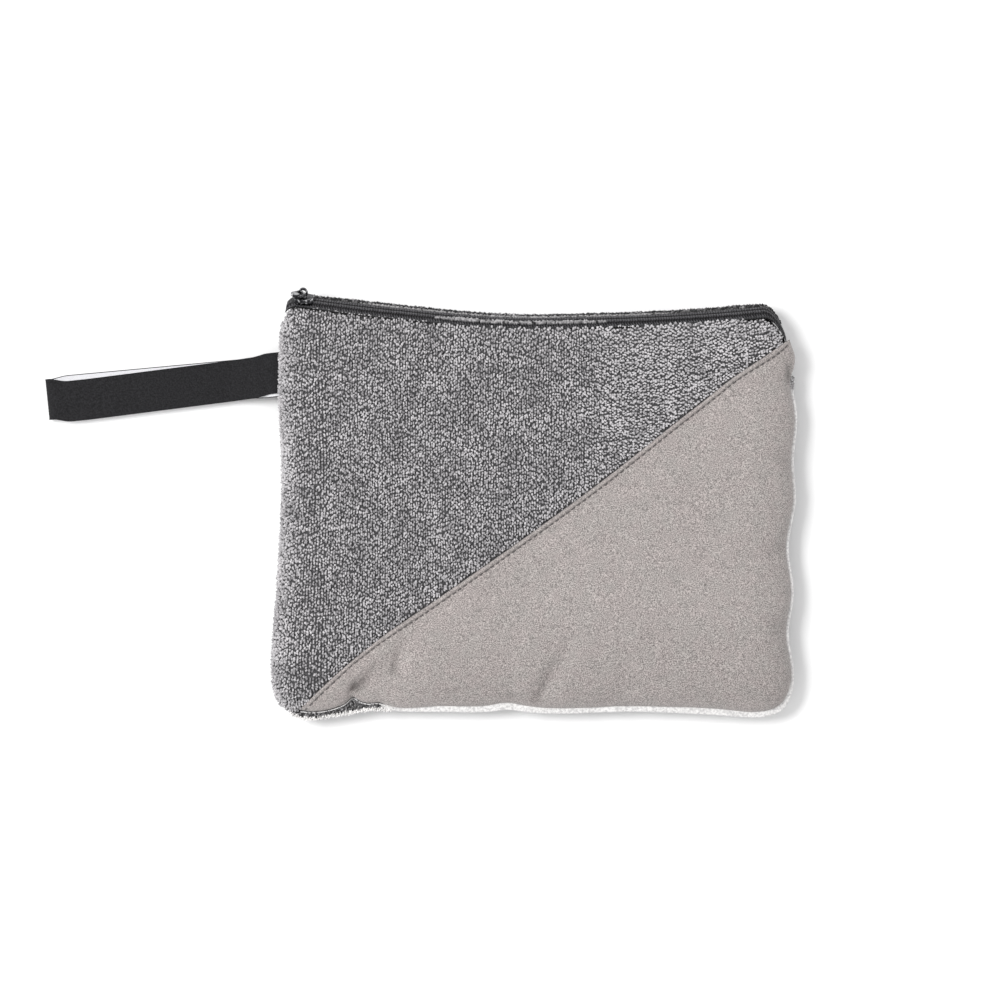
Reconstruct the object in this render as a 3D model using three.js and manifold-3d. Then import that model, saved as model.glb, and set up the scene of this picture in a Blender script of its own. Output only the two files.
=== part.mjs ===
// A quick-dry travel towel, folded into its own zipped pouch. Millimetres, +Z up.
// The pouch lies on its back panel: +X runs along the zipper, +Y points at the zipper,
// and the origin is on the flat face that it rests on, midway between the side seams.
import * as THREE from "three";
import { mergeVertices } from "three/addons/utils/BufferGeometryUtils.js";
import Module from "manifold-3d";

const wasm = await Module();
wasm.setup();

// ---- Driving sizes ----
const GAP = 0.3; // between pieces that touch on the real object

// Pouch
const HALF_WIDTH = 114;
const BOTTOM_Y = -90; // the folded side, opposite the zipper
const MOUTH_Y = 86.5; // the zipper side, at the middle
const MOUTH_RISE = 6; // how much further out the zipper side is, a half width from its lowest place
const CORNER_RADIUS = 12;
const THICKNESS = 26; // filled
const SEAM_Z = 12; // height of the side seams
const FRONT_ROLL = 22; // the width over which the front rounds down to the seam
const BACK_ROLL = 13;
const PANEL = 2; // terry with its pile pressed flat

// Zipper: its chain is an arc that sags towards the pouch's middle
const CHAIN_LOW_X = 16.5; // the sag is deepest right of the middle, so the left end stands higher
const CHAIN_Y = 82;
const CHAIN_Z = 16.5;
const CHAIN_TILT = THREE.MathUtils.degToRad(60); // the tape's slope over the pouch's side
const CHAIN_HALF_CHORD = 102;
const CHAIN_SAG = 6.5;
const CHAIN_RADIUS = (CHAIN_HALF_CHORD ** 2 + CHAIN_SAG ** 2) / (2 * CHAIN_SAG);
const TAPE_HALF_WIDTH = 5.2;
const TAPE_THICKNESS = 0.5;
const COIL_INNER = 0.6; // half of the channel that the slider's post runs in
const COIL_OUTER = 2.4;
const COIL_LOW = 0.55; // heights over the middle of the tape
const COIL_HIGH = 2.05;
const COIL_END_X = 105.8;
const TACK_WIDTH = 1.2;
const TAPE_END_X = 108;

// Slider: its length runs along the chain, its nose towards the closed end
const SLIDER_REST_X = -100.5;
const SLIDER_HALF_LENGTH = 5.2;
const NOSE_HALF_WIDTH = 3.7;
const REAR_HALF_WIDTH = 2.9;
const PLATE = 0.9;
const POST_LENGTH = 2.7;
const BRIDGE_X = 0.6; // the pull tab's pin line, from the slider's middle
const BRIDGE_CLEAR = 1.5; // height of that line over the top plate
const BRIDGE_INNER = 1.7;
const BRIDGE_OUTER = 2.5;
const BRIDGE_HALF_WIDTH = 0.7;

// Pull tab
const TAB_LIFT = THREE.MathUtils.degToRad(22); // how far it stands off the tape as it lies
const TAB_LENGTH = 7.6; // from its pin line to its tip
const TAB_HALF_WIDTH = 2.1;
const TAB_THICKNESS = 1.1;
const EYE_HALF_WIDTH = 1.25;
const EYE_START = 0.95;
const EYE_END = 3.1;

// Ribbon loop, sewn into the left seam
const LOOP_Y = 59.8;
const LOOP_TURN = THREE.MathUtils.degToRad(6.7);
const LOOP_REACH = 100.3;
const LOOP_GAP = 5.2;
const RIBBON_WIDTH = 18;
const RIBBON = 0.5;
const LOOP_DROP = 22; // how far out it comes down to the ground
const TAIL_LENGTH = 6; // sewn in

// Towel: folded in half, then laid in a zigzag
const TOWEL_LAYERS = 5;
const TOWEL_PLY = 3.6; // two thicknesses of terry
const TOWEL_SLIT = 0.3; // between those two
const TOWEL_WIDTH = 198;
const TOWEL_DEPTH = 154;
const TOWEL_Z = 2.9;

// Threads and piping
const THREAD_RADIUS = 0.4;
const PIPING_RADIUS = 1.1;
const SEAM_THREAD_INSET = 3.4;
const TOPSTITCH_OFFSET = 1.8; // from the diagonal seam's edge

// ---- Colours ----
const terry = { color: 0x858387, roughness: 1, metalness: 0 };
const smoothKnit = { color: 0xb2aba8, roughness: 0.9, metalness: 0 };
const blackTape = { color: 0x2c2b2e, roughness: 0.8, metalness: 0 };
const blackNylon = { color: 0x1c1c1e, roughness: 0.35, metalness: 0 };
const greyThread = { color: 0x5c5856, roughness: 0.8, metalness: 0 };
const whiteBinding = { color: 0xe9e8e6, roughness: 0.9, metalness: 0 };
const darkMetal = { color: 0x3a3a3d, roughness: 0.3, metalness: 1 };

const part = new THREE.Group();

function add(name, geometry, look, parent = part) {
  const mesh = new THREE.Mesh(geometry, new THREE.MeshStandardMaterial(look));
  mesh.name = name;
  parent.add(mesh);
  return mesh;
}

// ---- Solids: booleans on closed geometry ----
function toSolid(geometry) {
  const bare = geometry.clone();
  bare.deleteAttribute("normal");
  bare.deleteAttribute("uv");
  const merged = mergeVertices(bare, 1e-4);
  return new wasm.Manifold(
    new wasm.Mesh({
      numProp: 3,
      vertProperties: new Float32Array(merged.attributes.position.array),
      triVerts: new Uint32Array(merged.index.array),
    }),
  );
}

function toGeometry(solid) {
  const mesh = solid.getMesh();
  const geometry = new THREE.BufferGeometry();
  geometry.setAttribute("position", new THREE.BufferAttribute(mesh.vertProperties, 3));
  geometry.setIndex(new THREE.BufferAttribute(mesh.triVerts, 1));
  geometry.computeVertexNormals();
  return geometry;
}

// A box between two corners.
function box(x0, x1, y0, y1, z0, z1) {
  const geometry = new THREE.BoxGeometry(x1 - x0, y1 - y0, z1 - z0);
  return geometry.translate((x0 + x1) / 2, (y0 + y1) / 2, (z0 + z1) / 2);
}

// An outline of Vector2 in x and y, extruded from z0 to z1. Points that repeat the one
// before them are dropped.
function prism(points, z0, z1) {
  const ring = points.filter((p, i) => p.distanceTo(points.at(i - 1)) > 1e-3);
  const geometry = new THREE.ExtrudeGeometry(new THREE.Shape(ring), {
    depth: z1 - z0,
    bevelEnabled: false,
  });
  return geometry.translate(0, 0, z0);
}

// Sweeps a closed profile of Vector2 through stations { at, s, h }: a place and the two
// unit vectors that carry the profile's x and y.
function sweep(profile, stations) {
  const along = stations[1].at.clone().sub(stations[0].at);
  const turns = new THREE.Vector3().crossVectors(stations[0].s, stations[0].h).dot(along);
  const path = turns < 0 ? stations.slice().reverse() : stations;
  const count = profile.length;
  const positions = [];
  for (const { at, s, h } of path) {
    for (const p of profile) {
      const v = at.clone().addScaledVector(s, p.x).addScaledVector(h, p.y);
      positions.push(v.x, v.y, v.z);
    }
  }
  const index = [];
  for (let i = 0; i + 1 < path.length; i++) {
    for (let j = 0; j < count; j++) {
      const a = i * count + j;
      const b = i * count + ((j + 1) % count);
      index.push(a, b, b + count, a, b + count, a + count);
    }
  }
  const last = (path.length - 1) * count;
  for (const [a, b, c] of THREE.ShapeUtils.triangulateShape(profile, [])) {
    index.push(a, c, b, last + a, last + b, last + c);
  }
  const geometry = new THREE.BufferGeometry();
  geometry.setAttribute("position", new THREE.Float32BufferAttribute(positions, 3));
  geometry.setIndex(index);
  geometry.computeVertexNormals();
  return geometry;
}

function rectangle(x0, x1, y0, y1) {
  return [
    new THREE.Vector2(x0, y0),
    new THREE.Vector2(x1, y0),
    new THREE.Vector2(x1, y1),
    new THREE.Vector2(x0, y1),
  ];
}

// A round cord along points that run mostly level.
function cord(points, radius, sides = 8) {
  const profile = new THREE.EllipseCurve(0, 0, radius, radius).getPoints(sides).slice(0, sides);
  const up = new THREE.Vector3(0, 0, 1);
  const stations = points.map((at, i) => {
    const before = points[Math.max(i - 1, 0)];
    const after = points[Math.min(i + 1, points.length - 1)];
    const along = after.clone().sub(before).normalize();
    const s = new THREE.Vector3().crossVectors(up, along).normalize();
    const h = new THREE.Vector3().crossVectors(along, s);
    return { at, s, h };
  });
  return sweep(profile, stations);
}

// ---- The pouch's shape ----
const MIDDLE_Y = (MOUTH_Y + BOTTOM_Y) / 2;
const HALF_DEPTH = (MOUTH_Y - BOTTOM_Y) / 2;
const MIN_CORNER = 4;
const CORNER_STEPS = 5;
const SIDE_STEPS = 9;

// How far a point of the plain rounded rectangle moves towards +Y on the real outline.
function mouthShift(x, y) {
  const share = THREE.MathUtils.clamp((y - BOTTOM_Y) / (MOUTH_Y - BOTTOM_Y), 0, 1);
  return MOUTH_RISE * ((x - CHAIN_LOW_X) / HALF_WIDTH) ** 2 * share ** 2;
}

// The pouch's outline moved in by inset, as points at height z. They run anticlockwise
// seen from above, from the right side's upper end.
function outline(inset, z) {
  const radius = Math.max(CORNER_RADIUS - inset, MIN_CORNER);
  const cornerX = HALF_WIDTH - inset - radius;
  const cornerY = HALF_DEPTH - inset - radius;
  const plain = [];
  for (let quarter = 0; quarter < 4; quarter++) {
    const start = (quarter * Math.PI) / 2;
    const signX = quarter === 0 || quarter === 3 ? 1 : -1;
    const signY = quarter < 2 ? 1 : -1;
    for (let i = 0; i <= CORNER_STEPS; i++) {
      const angle = start + ((Math.PI / 2) * i) / CORNER_STEPS;
      plain.push([
        signX * cornerX + radius * Math.cos(angle),
        MIDDLE_Y + signY * cornerY + radius * Math.sin(angle),
      ]);
    }
  }
  const ring = [];
  const perCorner = CORNER_STEPS + 1;
  plain.forEach(([x, y], i) => {
    ring.push([x, y]);
    if ((i + 1) % perCorner === 0) {
      const [nextX, nextY] = plain[(i + 1) % plain.length];
      for (let k = 1; k < SIDE_STEPS; k++) {
        const t = k / SIDE_STEPS;
        ring.push([x + (nextX - x) * t, y + (nextY - y) * t]);
      }
    }
  });
  return ring.map(([x, y]) => new THREE.Vector3(x, y + mouthShift(x, y), z));
}

// From 0 at the edge to 1 where the rounding ends.
function rounding(inset, width) {
  const left = 1 - Math.min(inset / width, 1);
  return Math.sqrt(1 - left * left);
}

const ROLL_SHARES = [0.02, 0.08, 0.18, 0.34, 0.56, 0.78, 1];

// The closed pillow that fills the pouch's outline moved in by inset.
function pillow(inset, low, high) {
  const frontHeight = high - SEAM_Z;
  const backHeight = SEAM_Z - low;
  const front = ROLL_SHARES.map((share) =>
    outline(inset + share * FRONT_ROLL, SEAM_Z + frontHeight * rounding(share, 1)),
  );
  const back = ROLL_SHARES.map((share) =>
    outline(inset + share * BACK_ROLL, SEAM_Z - backHeight * rounding(share, 1)),
  );
  const rings = [...front.reverse(), outline(inset, SEAM_Z), ...back];
  const count = rings[0].length;
  const positions = rings.flat().flatMap((v) => [v.x, v.y, v.z]);
  const index = [];
  for (let i = 0; i + 1 < rings.length; i++) {
    for (let j = 0; j < count; j++) {
      const a = i * count + j;
      const b = i * count + ((j + 1) % count);
      index.push(a, a + count, b + count, a, b + count, b);
    }
  }
  const crown = positions.length / 3;
  positions.push(0, MIDDLE_Y, high, 0, MIDDLE_Y, low);
  const last = (rings.length - 1) * count;
  for (let j = 0; j < count; j++) {
    const next = (j + 1) % count;
    index.push(crown, j, next, crown + 1, last + next, last + j);
  }
  const geometry = new THREE.BufferGeometry();
  geometry.setAttribute("position", new THREE.Float32BufferAttribute(positions, 3));
  geometry.setIndex(index);
  return geometry;
}

// Height of the pouch's front over a point.
function frontHeightAt(x, y) {
  const plainY = y - mouthShift(x, y);
  const fromSide = HALF_WIDTH - Math.abs(x);
  const fromEnd = HALF_DEPTH - Math.abs(plainY - MIDDLE_Y);
  const inset = Math.max(Math.min(fromSide, fromEnd), 0);
  return SEAM_Z + (THICKNESS - SEAM_Z) * rounding(inset, FRONT_ROLL);
}

// ---- The zipper's arc ----
// The chain's places turn about this upright line, and so does the slider.
const ARC_CENTRE_Y = CHAIN_Y + CHAIN_RADIUS;
const arcAngle = (x) => Math.asin((x - CHAIN_LOW_X) / CHAIN_RADIUS);

// Where the chain is at an angle, with s across the tape towards the front panel and h
// out of the tape.
function chainStation(angle) {
  const inward = new THREE.Vector3(Math.sin(angle), -Math.cos(angle), 0);
  const up = new THREE.Vector3(0, 0, 1);
  const s = inward.clone().multiplyScalar(Math.cos(CHAIN_TILT));
  s.addScaledVector(up, Math.sin(CHAIN_TILT));
  const h = inward.clone().multiplyScalar(-Math.sin(CHAIN_TILT));
  h.addScaledVector(up, Math.cos(CHAIN_TILT));
  const at = new THREE.Vector3(CHAIN_LOW_X, ARC_CENTRE_Y, CHAIN_Z);
  at.addScaledVector(inward, CHAIN_RADIUS);
  return { at, s, h };
}

const CHAIN_STEPS = 24;

function chainBar(profile, x0, x1, steps = CHAIN_STEPS) {
  const from = arcAngle(x0);
  const to = arcAngle(x1);
  const stations = [];
  for (let i = 0; i <= steps; i++) {
    stations.push(chainStation(from + ((to - from) * i) / steps));
  }
  return sweep(profile, stations);
}

// ---- Diagonal seam of the front ----
const seamCurve = new THREE.SplineCurve([
  new THREE.Vector2(-116, -101),
  new THREE.Vector2(-102.7, -88),
  new THREE.Vector2(-75.9, -62),
  new THREE.Vector2(-11.7, -16.7),
  new THREE.Vector2(67.1, 43.1),
  new THREE.Vector2(95.3, 64.2),
  new THREE.Vector2(126, 83),
]);
const SEAM_STEPS = 32;

// Points of that seam, moved by offset towards the lower right.
function seamPoints(offset) {
  const points = [];
  for (let i = 0; i <= SEAM_STEPS; i++) {
    const at = seamCurve.getPoint(i / SEAM_STEPS);
    const along = seamCurve.getTangent(i / SEAM_STEPS);
    points.push(new THREE.Vector2(at.x + along.y * offset, at.y - along.x * offset));
  }
  return points;
}

// Everything on the lower right of the seam.
function lowerRight(offset) {
  const far = 2 * HALF_WIDTH;
  const corners = [new THREE.Vector2(far, far), new THREE.Vector2(far, -far), new THREE.Vector2(-far, -far)];
  return toSolid(prism([...seamPoints(offset), ...corners], 0, 2 * THICKNESS));
}

// ---- Threads and piping along the seams ----
function topstitchCord(radius) {
  const margin = 6;
  const points = seamPoints(TOPSTITCH_OFFSET)
    .filter((p) => Math.abs(p.x) < HALF_WIDTH - margin && p.y > BOTTOM_Y + margin)
    .map((p) => new THREE.Vector3(p.x, p.y, frontHeightAt(p.x, p.y)));
  return cord(points, radius);
}

// The stretch of the outline from the bottom left corner to the right end of the mouth.
function bottomAndRight(inset) {
  const ring = outline(inset, SEAM_Z);
  const perQuarter = ring.length / 4;
  const start = 2 * perQuarter + CORNER_STEPS;
  return ring.slice(start).concat(ring.slice(0, 1));
}

// The stretch from the left end of the mouth, round the bottom, to the right end.
function sewnSides(inset) {
  const ring = outline(inset, SEAM_Z);
  const perQuarter = ring.length / 4;
  return ring.slice(perQuarter + CORNER_STEPS).concat(ring.slice(0, 1));
}

// ---- Panels ----
function panels() {
  const outer = toSolid(pillow(0, 0, THICKNESS));
  const inner = toSolid(pillow(PANEL, PANEL, THICKNESS - PANEL));
  const piping = toSolid(cord(bottomAndRight(0), PIPING_RADIUS + GAP));
  const shell = outer.subtract(inner).subtract(piping);
  const far = 2 * HALF_WIDTH;
  const above = toSolid(box(-far, far, -far, far, SEAM_Z + GAP / 2, far));
  const below = toSolid(box(-far, far, -far, far, -far, SEAM_Z - GAP / 2));
  const slotHalf = TAPE_HALF_WIDTH + GAP;
  const deep = 14;
  const slotEnd = TAPE_END_X + GAP;
  const frontSlot = toSolid(
    chainBar(rectangle(-deep, slotHalf, -deep, deep), -slotEnd, slotEnd),
  );
  const backSlot = toSolid(
    chainBar(rectangle(-slotHalf, deep, -deep, deep), -slotEnd, slotEnd),
  );
  const stitch = toSolid(topstitchCord(THREAD_RADIUS + GAP));
  const front = shell.intersect(above).subtract(frontSlot);
  add("front_terry_panel", toGeometry(front.subtract(lowerRight(-GAP / 2))), terry);
  add(
    "front_smooth_panel",
    toGeometry(front.intersect(lowerRight(GAP / 2)).subtract(stitch)),
    smoothKnit,
  );
  add("back_terry_panel", toGeometry(shell.intersect(below).subtract(backSlot)), terry);
}

function seams() {
  add("diagonal_topstitch", topstitchCord(THREAD_RADIUS), greyThread);
  add("edge_piping", cord(bottomAndRight(0), PIPING_RADIUS), whiteBinding);
  add("side_seam_thread", cord(sewnSides(SEAM_THREAD_INSET), THREAD_RADIUS, 6), greyThread);
}

// ---- Zipper ----
function zipper() {
  const half = TAPE_THICKNESS / 2;
  const tapeInner = COIL_INNER;
  const stitchS = TAPE_HALF_WIDTH - THREAD_RADIUS;
  const stitchLow = half + GAP;
  const stitchHigh = stitchLow + THREAD_RADIUS;
  const sides = { front: 1, back: -1 };
  for (const [name, sign] of Object.entries(sides)) {
    const across = (a, b, low, high) =>
      sign > 0 ? rectangle(a, b, low, high) : rectangle(-b, -a, low, high);
    const tape = across(tapeInner, TAPE_HALF_WIDTH, -half, half);
    const coil = across(COIL_INNER, COIL_OUTER, COIL_LOW, COIL_HIGH);
    const stitch = across(stitchS - THREAD_RADIUS, stitchS, stitchLow, stitchHigh);
    add(`zipper_tape_${name}`, chainBar(tape, -TAPE_END_X, TAPE_END_X), blackTape);
    add(`zipper_coil_${name}`, chainBar(coil, -COIL_END_X, COIL_END_X), blackNylon);
    add(`zipper_stitch_${name}`, chainBar(stitch, -COIL_END_X, COIL_END_X), greyThread);
  }
  const tack = rectangle(-COIL_OUTER, COIL_OUTER, COIL_LOW, COIL_HIGH);
  const near = COIL_END_X + GAP;
  add("zipper_end_tack_left", chainBar(tack, -near - TACK_WIDTH, -near, 1), blackNylon);
  add("zipper_end_tack_right", chainBar(tack, near, near + TACK_WIDTH, 1), blackNylon);
}

// ---- Slider and pull tab, in the slider's own frame: x along the chain towards the
// closed end, y across the tape towards the front panel, z out of the tape ----
const TOP_PLATE_LOW = COIL_HIGH + 0.35;
const TOP_PLATE_HIGH = TOP_PLATE_LOW + PLATE;
const BOTTOM_PLATE_HIGH = -TAPE_THICKNESS / 2 - 0.35;
const PIN_HEIGHT = TOP_PLATE_HIGH + BRIDGE_CLEAR;

function plateOutline() {
  const shape = new THREE.Shape();
  shape.moveTo(-SLIDER_HALF_LENGTH, -REAR_HALF_WIDTH);
  shape.lineTo(1.2, -NOSE_HALF_WIDTH);
  shape.quadraticCurveTo(4.4, -NOSE_HALF_WIDTH, SLIDER_HALF_LENGTH, -1.2);
  shape.lineTo(SLIDER_HALF_LENGTH, 1.2);
  shape.quadraticCurveTo(4.4, NOSE_HALF_WIDTH, 1.2, NOSE_HALF_WIDTH);
  shape.lineTo(-SLIDER_HALF_LENGTH, REAR_HALF_WIDTH);
  return shape.getPoints(6);
}

// An arch over the top plate, as an outline in x and z.
function bridgeOutline() {
  const shape = new THREE.Shape();
  const foot = TOP_PLATE_HIGH - PLATE / 2;
  shape.moveTo(BRIDGE_X + BRIDGE_OUTER, foot);
  shape.lineTo(BRIDGE_X + BRIDGE_OUTER, PIN_HEIGHT);
  shape.absarc(BRIDGE_X, PIN_HEIGHT, BRIDGE_OUTER, 0, Math.PI, false);
  shape.lineTo(BRIDGE_X - BRIDGE_OUTER, foot);
  shape.lineTo(BRIDGE_X - BRIDGE_INNER, foot);
  shape.lineTo(BRIDGE_X - BRIDGE_INNER, PIN_HEIGHT);
  shape.absarc(BRIDGE_X, PIN_HEIGHT, BRIDGE_INNER, Math.PI, 0, true);
  shape.lineTo(BRIDGE_X + BRIDGE_INNER, foot);
  return shape.getPoints(8);
}

function sliderBody() {
  const plate = plateOutline();
  const bottom = toSolid(prism(plate, BOTTOM_PLATE_HIGH - PLATE, BOTTOM_PLATE_HIGH));
  const top = toSolid(prism(plate, TOP_PLATE_LOW, TOP_PLATE_HIGH));
  const half = COIL_INNER - GAP;
  const nose = SLIDER_HALF_LENGTH;
  const post = toSolid(
    box(nose - POST_LENGTH, nose, -half, half, BOTTOM_PLATE_HIGH - 0.1, TOP_PLATE_LOW + 0.1),
  );
  const lipInner = COIL_OUTER + GAP;
  const lipLow = TAPE_THICKNESS / 2 + 0.35;
  const lips = toSolid(prism(plate, lipLow, TOP_PLATE_LOW + 0.1)).subtract(
    toSolid(box(-nose - 1, nose + 1, -lipInner, lipInner, lipLow - 1, TOP_PLATE_LOW + 1)),
  );
  const arch = prism(bridgeOutline(), -BRIDGE_HALF_WIDTH, BRIDGE_HALF_WIDTH);
  arch.rotateX(Math.PI / 2);
  return toGeometry(bottom.add(top).add(post).add(lips).add(toSolid(arch)));
}

// The tab lies along +x from its pin line, which is its local y axis.
function pullTab() {
  const shape = new THREE.Shape();
  const back = -TAB_THICKNESS / 2;
  const shoulder = EYE_END + 0.6;
  shape.moveTo(back, -TAB_HALF_WIDTH + 0.5);
  shape.quadraticCurveTo(back, -TAB_HALF_WIDTH, back + 0.5, -TAB_HALF_WIDTH);
  shape.lineTo(shoulder, -TAB_HALF_WIDTH);
  shape.bezierCurveTo(TAB_LENGTH, -TAB_HALF_WIDTH, TAB_LENGTH, TAB_HALF_WIDTH, shoulder, TAB_HALF_WIDTH);
  shape.lineTo(back + 0.5, TAB_HALF_WIDTH);
  shape.quadraticCurveTo(back, TAB_HALF_WIDTH, back, TAB_HALF_WIDTH - 0.5);
  const half = TAB_THICKNESS / 2;
  const blank = toSolid(prism(shape.getPoints(6), -half, half));
  const eye = toSolid(box(EYE_START, EYE_END, -EYE_HALF_WIDTH, EYE_HALF_WIDTH, -1, 1));
  return toGeometry(blank.subtract(eye));
}

function slider() {
  const { at, s, h } = chainStation(arcAngle(SLIDER_REST_X));
  const along = new THREE.Vector3().crossVectors(s, h);
  const frame = new THREE.Group();
  frame.position.copy(at);
  frame.quaternion.setFromRotationMatrix(new THREE.Matrix4().makeBasis(along, s, h));
  part.add(frame);
  add("slider_body", sliderBody(), darkMetal, frame);
  const tab = add("pull_tab", pullTab(), darkMetal, frame);
  tab.position.set(BRIDGE_X, 0, PIN_HEIGHT);
  tab.rotation.y = -TAB_LIFT;
}

// ---- Ribbon loop: an outline in x (out from the seam) and z, as wide as the ribbon ----
// Both layers leave the seam together, and come down to the ground with a gap between.
function hangLoop() {
  const outerRadius = LOOP_GAP / 2 + RIBBON;
  const tipX = LOOP_REACH - outerRadius;
  const high = LOOP_GAP + 2 * RIBBON;
  const joinX = 3.5; // where the two layers part
  const holeX = joinX + 1;
  const outside = new THREE.Shape();
  outside.moveTo(0, SEAM_Z + RIBBON);
  outside.lineTo(joinX, SEAM_Z + RIBBON);
  outside.bezierCurveTo(0.45 * LOOP_DROP, SEAM_Z + RIBBON, 0.5 * LOOP_DROP, high, LOOP_DROP, high);
  outside.lineTo(tipX, high);
  outside.absarc(tipX, outerRadius, outerRadius, Math.PI / 2, -Math.PI / 2, true);
  outside.lineTo(LOOP_DROP, 0);
  outside.bezierCurveTo(0.5 * LOOP_DROP, 0, 0.45 * LOOP_DROP, SEAM_Z - RIBBON, joinX, SEAM_Z - RIBBON);
  outside.lineTo(0, SEAM_Z - RIBBON);
  const ceiling = high - RIBBON;
  const inside = new THREE.Shape();
  inside.moveTo(holeX, SEAM_Z);
  inside.bezierCurveTo(0.5 * LOOP_DROP, SEAM_Z - RIBBON, 0.5 * LOOP_DROP, ceiling, LOOP_DROP, ceiling);
  inside.lineTo(tipX, ceiling);
  inside.absarc(tipX, outerRadius, LOOP_GAP / 2, Math.PI / 2, -Math.PI / 2, true);
  inside.lineTo(LOOP_DROP, RIBBON);
  inside.bezierCurveTo(0.6 * LOOP_DROP, RIBBON, 0.45 * LOOP_DROP, SEAM_Z - 2 * RIBBON, holeX, SEAM_Z);
  const half = RIBBON_WIDTH / 2;
  const band = toSolid(prism(outside.getPoints(10), -half, half));
  const hollow = toSolid(prism(inside.getPoints(10), -half - 1, half + 1));
  const geometry = toGeometry(band.subtract(hollow)).rotateX(Math.PI / 2);
  const frame = new THREE.Group();
  const slant = half * Math.sin(LOOP_TURN); // its square end clears the seam
  frame.position.set(-HALF_WIDTH - GAP - slant, LOOP_Y, 0);
  frame.rotation.z = Math.PI + LOOP_TURN;
  part.add(frame);
  add("hang_loop", geometry, blackTape, frame);

  // The ribbon's two ends go on inside the pouch, over the seam's thread, and are tacked.
  const tailStart = -2 * slant - PANEL - 3 * GAP;
  const tailLow = SEAM_Z + THREAD_RADIUS + GAP;
  const tailHigh = tailLow + 2 * RIBBON;
  const tail = box(tailStart - TAIL_LENGTH, tailStart, -half, half, tailLow, tailHigh);
  add("hang_loop_tail", tail, blackTape, frame);
  const tackX = tailStart - TAIL_LENGTH / 2;
  const tackLow = tailHigh + GAP;
  const tack = box(
    tackX - THREAD_RADIUS, tackX + THREAD_RADIUS, -half + 1, half - 1, tackLow, tackLow + 2 * THREAD_RADIUS,
  );
  add("loop_tack", tack, blackNylon, frame);
}

// ---- Folded towel ----
// Stations along a strip laid in a zigzag of TOWEL_LAYERS runs, one on top of another.
// extra lengthens its two free ends.
function zigzag(halfRun, extra) {
  const pitch = TOWEL_PLY + GAP;
  const turnSteps = 6;
  const across = new THREE.Vector3(1, 0, 0);
  const stations = [];
  const addStation = (y, z, angle) => {
    const s = new THREE.Vector3(0, -Math.sin(angle), Math.cos(angle));
    stations.push({ at: new THREE.Vector3(0, y, z), s, h: across });
  };
  for (let layer = 0; layer < TOWEL_LAYERS; layer++) {
    const z = TOWEL_Z + TOWEL_PLY / 2 + layer * pitch;
    const sign = layer % 2 === 0 ? 1 : -1;
    const heading = layer % 2 === 0 ? 0 : Math.PI;
    const isLast = layer === TOWEL_LAYERS - 1;
    addStation(-sign * (halfRun + (layer === 0 ? extra : 0)), z, heading);
    addStation(sign * (halfRun + (isLast ? extra : 0)), z, heading);
    for (let k = 1; k < turnSteps && !isLast; k++) {
      const turn = (Math.PI * k) / turnSteps;
      const y = sign * (halfRun + (pitch / 2) * Math.sin(turn));
      addStation(y, z + (pitch / 2) * (1 - Math.cos(turn)), heading + sign * turn);
    }
  }
  return stations;
}

// Two thicknesses, joined only along the fold at the towel's left.
function towel() {
  const halfWidth = TOWEL_WIDTH / 2;
  const halfRun = TOWEL_DEPTH / 2 - TOWEL_PLY;
  const plies = sweep(rectangle(-TOWEL_PLY / 2, TOWEL_PLY / 2, -halfWidth, halfWidth), zigzag(halfRun, 0));
  const slitStart = -halfWidth + TOWEL_PLY / 2;
  const slit = sweep(
    rectangle(-TOWEL_SLIT / 2, TOWEL_SLIT / 2, slitStart, halfWidth + 1),
    zigzag(halfRun, 1),
  );
  const folded = toGeometry(toSolid(plies).subtract(toSolid(slit)));
  add("folded_towel", folded.translate(0, MIDDLE_Y, 0), terry);
}

panels();
seams();
zipper();
slider();
hangLoop();
towel();

export default part;
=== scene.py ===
"""A quick dry towel in its zipped terry pouch: fabric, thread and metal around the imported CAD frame."""

import math

import bpy
import numpy as np
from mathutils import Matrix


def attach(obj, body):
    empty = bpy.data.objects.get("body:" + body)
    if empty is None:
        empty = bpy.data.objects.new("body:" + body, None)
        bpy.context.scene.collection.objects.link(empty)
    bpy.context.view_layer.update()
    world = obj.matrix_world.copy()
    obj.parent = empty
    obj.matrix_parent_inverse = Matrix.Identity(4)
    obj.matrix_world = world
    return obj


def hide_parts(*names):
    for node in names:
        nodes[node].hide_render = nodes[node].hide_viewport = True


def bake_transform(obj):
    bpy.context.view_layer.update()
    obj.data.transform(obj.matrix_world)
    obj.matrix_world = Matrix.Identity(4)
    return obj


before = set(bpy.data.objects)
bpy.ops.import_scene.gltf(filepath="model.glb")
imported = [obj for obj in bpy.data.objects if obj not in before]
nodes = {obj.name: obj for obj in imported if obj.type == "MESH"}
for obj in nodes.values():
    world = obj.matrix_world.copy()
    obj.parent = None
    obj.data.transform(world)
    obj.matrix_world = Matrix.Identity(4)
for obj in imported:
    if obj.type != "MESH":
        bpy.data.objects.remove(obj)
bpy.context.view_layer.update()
dice = np.random.default_rng(11)

# ---------------------------------------------------------------- driving sizes, in millimetres

MM = 0.001

# The pouch: a rounded rectangle whose front swells and whose mouth rises towards its two ends.
HALF_WIDTH = 114
BOTTOM = -90
MOUTH = 86.5
MOUTH_RISE = 6
THICKNESS = 26
SEAM_Z = 12
ROLL = 22
CORNER_POWER = 4
BACK_POWER = 4
BACK_INSET = 1.3
CLOTH = 1.0

# How far each cloth lies inside the face that its pile or nap reaches.
PILE_ROOM = 0.7
SMOOTH_ROOM = 0.35
BACK_ROOM = 1.45
CROWN_ROOM = 0.9

# The plain places from which the edges begin to wander.
EDGE_FROM_X = 70
EDGE_FROM_Y = -48

# The zipper chain: an arc, with the tape tilted so that its face looks over the mouth.
CHAIN_RADIUS = 803.5577
CHAIN_LOW_X = 16.5
CHAIN_CENTRE_Y = 885.5577
CHAIN_Z = 16.5
CHAIN_TILT = math.radians(60)
CHAIN_END_X = 105.8

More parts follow.
